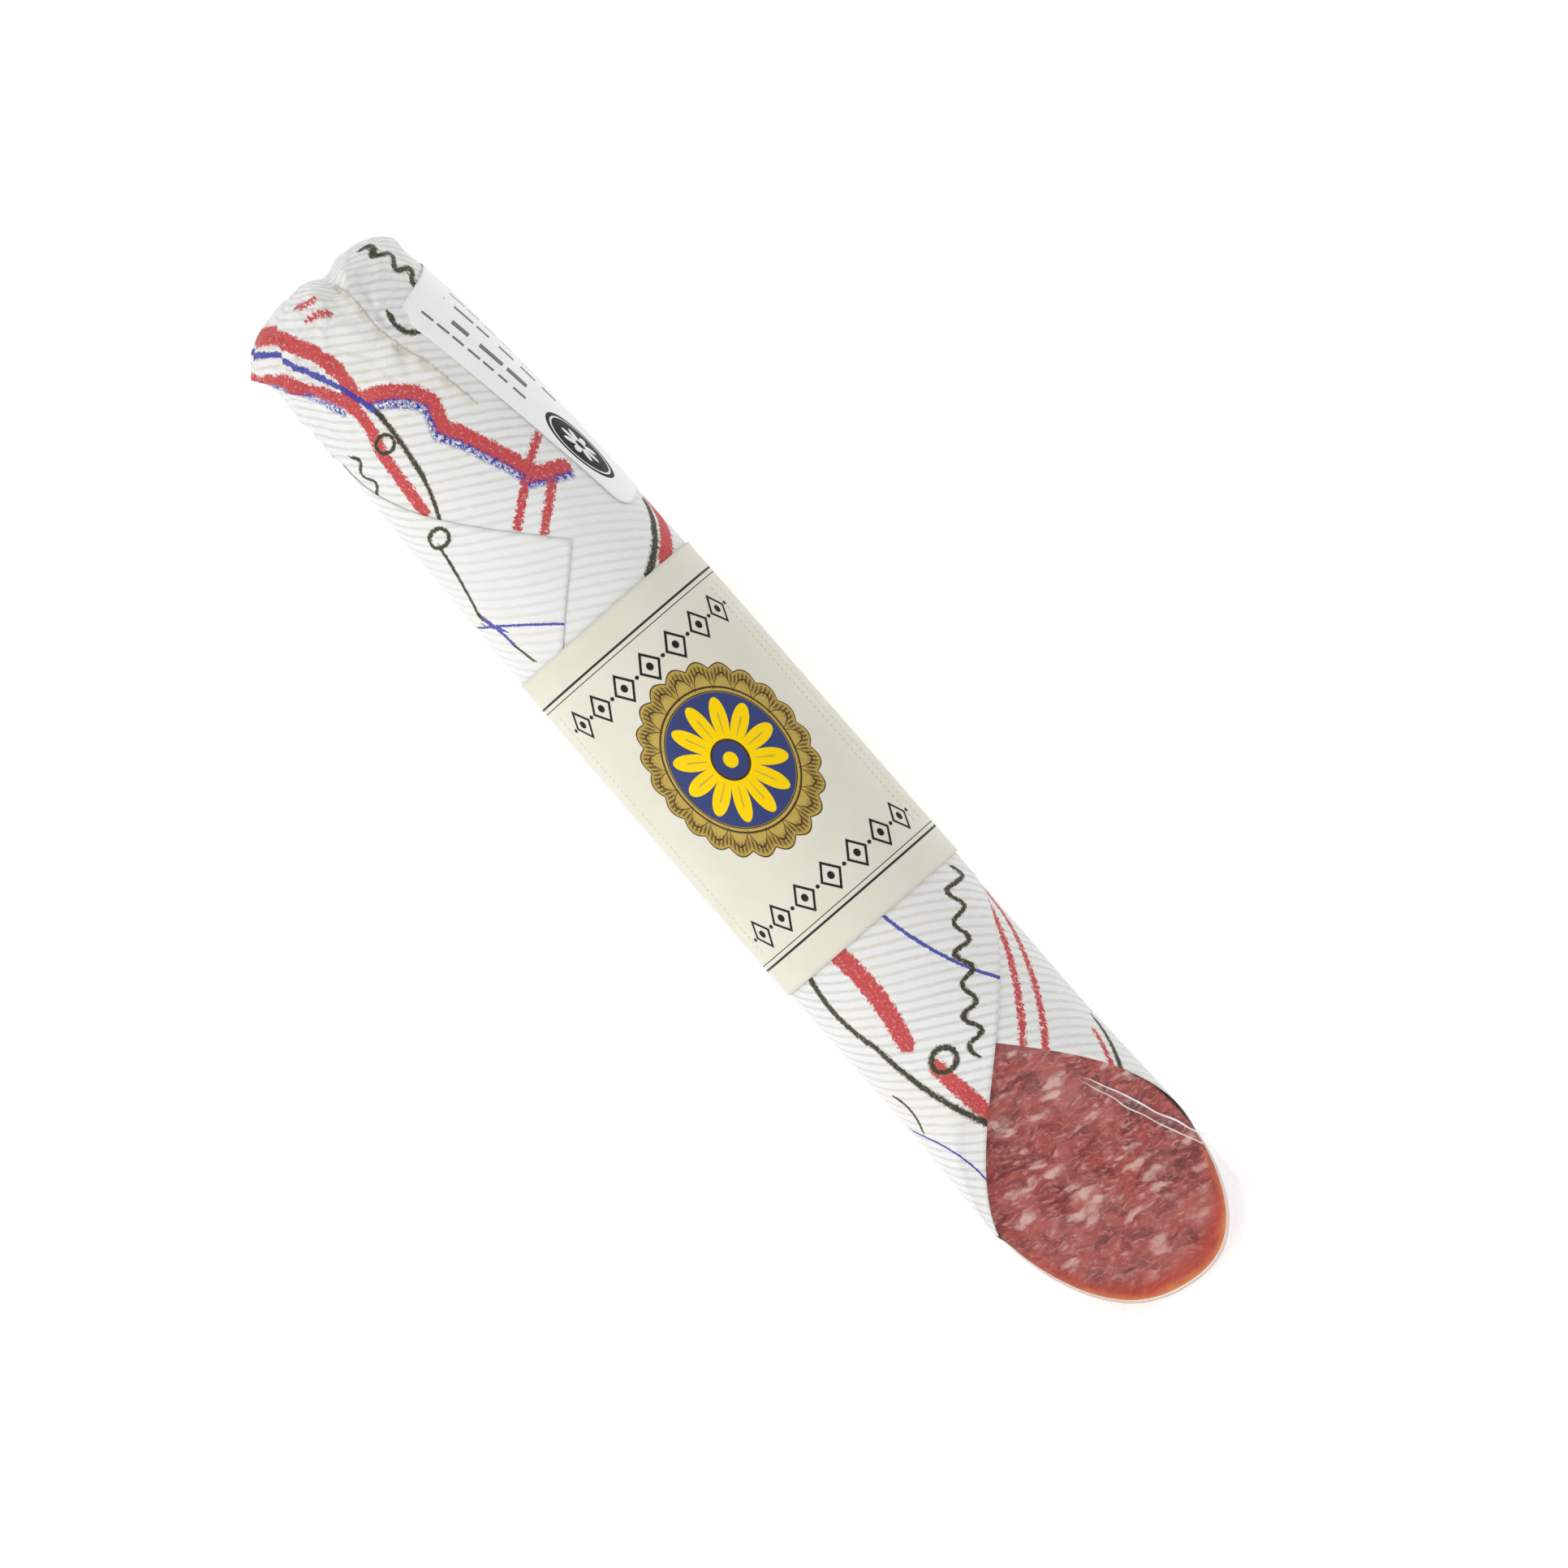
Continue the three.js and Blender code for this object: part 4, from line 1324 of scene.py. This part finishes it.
def make_marks():
    """Rows of plain lozenges across the label, one near each pair of rules."""
    tree = marks_tree()
    ink = ink_material()
    offset = label_offset()
    rows = []
    for station, count, step in ((LABEL_START + 18, 7, 8.8), (LABEL_END - 16.5, 7, 9.0)):
        place = {"Start": (station, -step * (count - 1) / 2, 0.0), "Step": (0.0, step, 0.0)}
        place["Radius"] = float(body_radius(station)) + offset + 0.1
        place["Axis Height"] = float(axis_height(station))
        lozenges = {"Count": count, "Size": (4.1, 3.0, 1.0), "Sides": 4, "Filled": False, "Line": 0.13}
        hearts = {"Count": count, "Size": (1.1, 0.9, 1.0), "Sides": 14, "Filled": True}
        between = {"Count": count + 1, "Size": (0.55, 0.55, 1.0), "Sides": 12, "Filled": True,
                   "Start": (station, -step * count / 2, 0.0)}
        for marks in (lozenges, hearts, between):
            rows.append(row_of_marks(tree, ink, **{**place, **marks}))
    joined = bpy.data.meshes.new("label_marks")
    points = []
    faces = []
    for mesh in rows:
        start = len(points)
        points += [tuple(vertex.co) for vertex in mesh.vertices]
        faces += [[start + index for index in face.vertices] for face in mesh.polygons]
        bpy.data.meshes.remove(mesh)
    joined.from_pydata([(x + FOLD_X, y + AXIS_Y, z) for x, y, z in points], [], faces)
    declare(add_object("label_marks", joined), ink, "label_paper", "band_label")


class SAUSAGE_OT_marks(bpy.types.Operator):
    """Print the ornament rows on the label"""

    bl_idname = "sausage.marks"
    bl_label = "Label marks"

    def execute(self, context):
        make_marks()
        return {"FINISHED"}


# ---------------------------------------------------------------- sticker


def sticker_material():
    material, nodes, shader = new_material("White sticker paper")
    place = nodes.place()
    flat = nodes.flat()
    along, across, _ = nodes.split(flat)
    grain = nodes.group(shared("grain"), vector=place, scale=1.2)
    color = nodes.mix(nodes.rise(grain["Mottle"], 0.3, 0.8), (0.93, 0.94, 0.94), (0.89, 0.90, 0.90))
    for row, half, start, end, word in ((6.0, 0.45, 5, 40, 5.1), (10.6, 0.95, 11, 40, 9.3),
                                        (17.5, 0.7, 8, 50, 7.7), (23.5, 0.45, 8, 48, 6.1),
                                        (28.5, 0.45, 8, 60, 5.3), (33.5, 0.45, 8, 44, 6.7)):
        line = nodes.rise(nodes.off(across, row), half + 0.1, half - 0.1)
        step = nodes.plus(nodes.over(along, word), row)
        chance = nodes.add("ShaderNodeTexWhiteNoise", {"W": nodes.math("FLOOR", step)},
                           noise_dimensions="1D")
        reach = nodes.plus(nodes.times(chance.outputs["Value"], 0.35), 0.55)
        gap = nodes.rise(nodes.minus(nodes.math("FRACT", step), reach), 0.03, 0.0)
        span = nodes.times(nodes.rise(along, start, start + 0.2), nodes.rise(along, end, end - 0.2))
        bar = nodes.times(nodes.times(line, gap), span)
        color = nodes.mix(nodes.times(bar, 0.85), color, (0.05, 0.05, 0.055))
    rosette = nodes.group(shared("rosette"), along=nodes.minus(along, 58.5),
                          across=nodes.minus(across, 7.0),
                          length=24.0, width=11.0, petals=8.0, scallops=10.0)
    reach = rosette["Reach"]
    color = nodes.mix(nodes.rise(reach, 1.01, 0.99), color, (0.012, 0.012, 0.014))
    ring_line = nodes.rise(nodes.off(reach, 0.86), 0.035, 0.02)
    petal = nodes.minus(reach, nodes.plus(nodes.times(rosette["Petal"], 0.35), 0.2))
    white = nodes.math("MAXIMUM", ring_line, nodes.rise(petal, 0.02, -0.02))
    white = nodes.times(white, nodes.rise(reach, 0.12, 0.16))
    color = nodes.mix(white, color, (0.85, 0.85, 0.85))
    nodes.fill(shader, {
        "Base Color": color, "Roughness": nodes.plus(nodes.times(grain["Mottle"], 0.1), 0.3),
        "Specular IOR Level": 0.2, "Normal": nodes.bump(grain["Tooth"], 0.15, 0.00006)})
    return material


def make_sticker():
    """The rounded sticker on the side near the closed end."""
    p = printing()
    corner = 5.0  # mm
    length, width = p.sticker_length, p.sticker_width
    start_x, start_angle = 21.5, math.radians(25)  # of its corner nearest the closed end and the top
    u, v = np.meshgrid(np.linspace(0, length, 66), np.linspace(0, width, 40), indexing="ij")
    reach_u = np.maximum(np.abs(u - length / 2) - (length / 2 - corner), 0)
    reach_v = np.maximum(np.abs(v - width / 2) - (width / 2 - corner), 0)
    long = np.maximum(np.maximum(reach_u, reach_v), 1e-6)
    pull = np.where(np.minimum(reach_u, reach_v) > 0, long / np.hypot(reach_u, reach_v), 1.0)
    u = np.where(reach_u > 0, u + np.sign(u - length / 2) * reach_u * (pull - 1), u)
    v = np.where(reach_v > 0, v + np.sign(v - width / 2) * reach_v * (pull - 1), v)
    tilt = p.sticker_tilt
    x = start_x + u * math.cos(tilt) - v * math.sin(tilt)
    angle = start_angle + (u * math.sin(tilt) + v * math.cos(tilt)) / roll_radius()
    border = np.minimum(np.minimum(u, length - u), np.minimum(v, width - v))
    top = wrapping().roll_offset + 2.05 * wrapping().pitch + 0.22
    waves = paper_waves(np.maximum(x, FOLD_DEPTH), angle)
    points = on_body(x, angle, top + waves + 0.1 * np.exp(-border / 1.2))
    uv = np.stack([u, v], -1)
    piece = new_piece("side_sticker", points, grid_faces(*u.shape), None, uv)
    thicken(piece, 0.1)
    declare(piece, sticker_material(), "sticker_paper", "sticker")


class SAUSAGE_OT_sticker(bpy.types.Operator):
    """Stick the white sticker on the paper"""

    bl_idname = "sausage.sticker"
    bl_label = "Sticker"

    def execute(self, context):
        make_sticker()
        return {"FINISHED"}


# ---------------------------------------------------------------- stage


def area_light(name, place, aim, size, power, color):
    data = bpy.data.lights.new(name, "AREA")
    data.shape = "RECTANGLE"
    data.size, data.size_y = size
    data.energy = power
    data.color = color
    lamp = add_object(name, data)
    lamp.location = place
    lamp.rotation_euler = (Vector(aim) - Vector(place)).to_track_quat("-Z", "Y").to_euler()


def make_stage():
    """White floor, soft high-key light from the closed end's side, and a camera straight above."""
    scene = bpy.context.scene
    side = 6.0
    mesh = bpy.data.meshes.new("floor")
    mesh.from_pydata([(-side, -side, 0), (side, -side, 0), (side, side, 0), (-side, side, 0)], [],
                     [(0, 1, 2, 3)])
    floor = add_object("floor", mesh)
    material, nodes, shader = new_material("White floor")
    nodes.fill(shader, {
        "Base Color": (0.92, 0.92, 0.92, 1), "Roughness": 0.9, "Specular IOR Level": 0.0,
        "Emission Color": (1, 1, 1, 1), "Emission Strength": 0.32})
    mesh.materials.append(material)

    world = bpy.data.worlds.new("studio")
    scene.world = world
    world.use_nodes = True
    sky = world.node_tree.nodes["Background"]
    sky.inputs["Color"].default_value = (1.0, 1.0, 1.0, 1)
    sky.inputs["Strength"].default_value = 0.70
    area_light("key", (-0.35, -1.1, 1.0), (0, 0, 0), (1.2, 0.9), 7.5, (1.0, 0.98, 0.93))
    area_light("fill", (0.3, 1.1, 0.9), (0, 0, 0), (1.2, 0.8), 0.8, (0.90, 0.96, 1.0))
    area_light("strip", (0.75, 0.1, 1.0), (0.12, 0, 0), (0.25, 0.9), 0.9, (1.0, 1.0, 1.0))

    scene.view_settings.view_transform = "Standard"
    camera_data = bpy.data.cameras.new("camera")
    camera = add_object("camera", camera_data)
    distance = 6.0
    seen = 0.402  # metres across the picture at the sausage
    camera_data.sensor_width = 36.0
    camera_data.lens = camera_data.sensor_width * distance / seen
    camera.location = (FOLD_X + 0.1776, AXIS_Y + 0.0062, 0.03 + distance)
    camera.rotation_euler = (0.0, 0.0, math.radians(49.05))
    scene.camera = camera


class SAUSAGE_OT_stage(bpy.types.Operator):
    """Lay out the floor, lights and camera"""

    bl_idname = "sausage.stage"
    bl_label = "Stage"

    def execute(self, context):
        make_stage()
        return {"FINISHED"}


# ---------------------------------------------------------------- panel and run


class SAUSAGE_PT_panel(bpy.types.Panel):
    """Settings and steps of the wrapped sausage"""

    bl_idname = "SAUSAGE_PT_panel"
    bl_label = "Wrapped Sausage"
    bl_space_type = "VIEW_3D"
    bl_region_type = "UI"
    bl_category = "Sausage"

    def draw(self, context):
        for group in (shape(), wrapping(), printing()):
            box = self.layout.box()
            for name in group.__annotations__:
                box.prop(group, name)
        for step in STEPS:
            self.layout.operator(step.bl_idname)


STEPS = (SAUSAGE_OT_meat, SAUSAGE_OT_film, SAUSAGE_OT_paper, SAUSAGE_OT_label, SAUSAGE_OT_marks,
         SAUSAGE_OT_sticker, SAUSAGE_OT_stage)
SETTINGS = {"sausage_shape": SausageShape, "sausage_wrapping": SausageWrapping,
            "sausage_label": SausageLabel}


def register():
    for kind in (*SETTINGS.values(), *STEPS, SAUSAGE_PT_panel):
        bpy.utils.register_class(kind)
    for name, kind in SETTINGS.items():
        setattr(bpy.types.Scene, name, bpy.props.PointerProperty(type=kind))


def unregister():
    for name in SETTINGS:
        delattr(bpy.types.Scene, name)
    for kind in (SAUSAGE_PT_panel, *reversed(STEPS), *reversed(SETTINGS.values())):
        bpy.utils.unregister_class(kind)


def main():
    register()
    for step in STEPS:
        section, name = step.bl_idname.split(".")
        getattr(getattr(bpy.ops, section), name)()


if __name__ == "__main__":
    main()
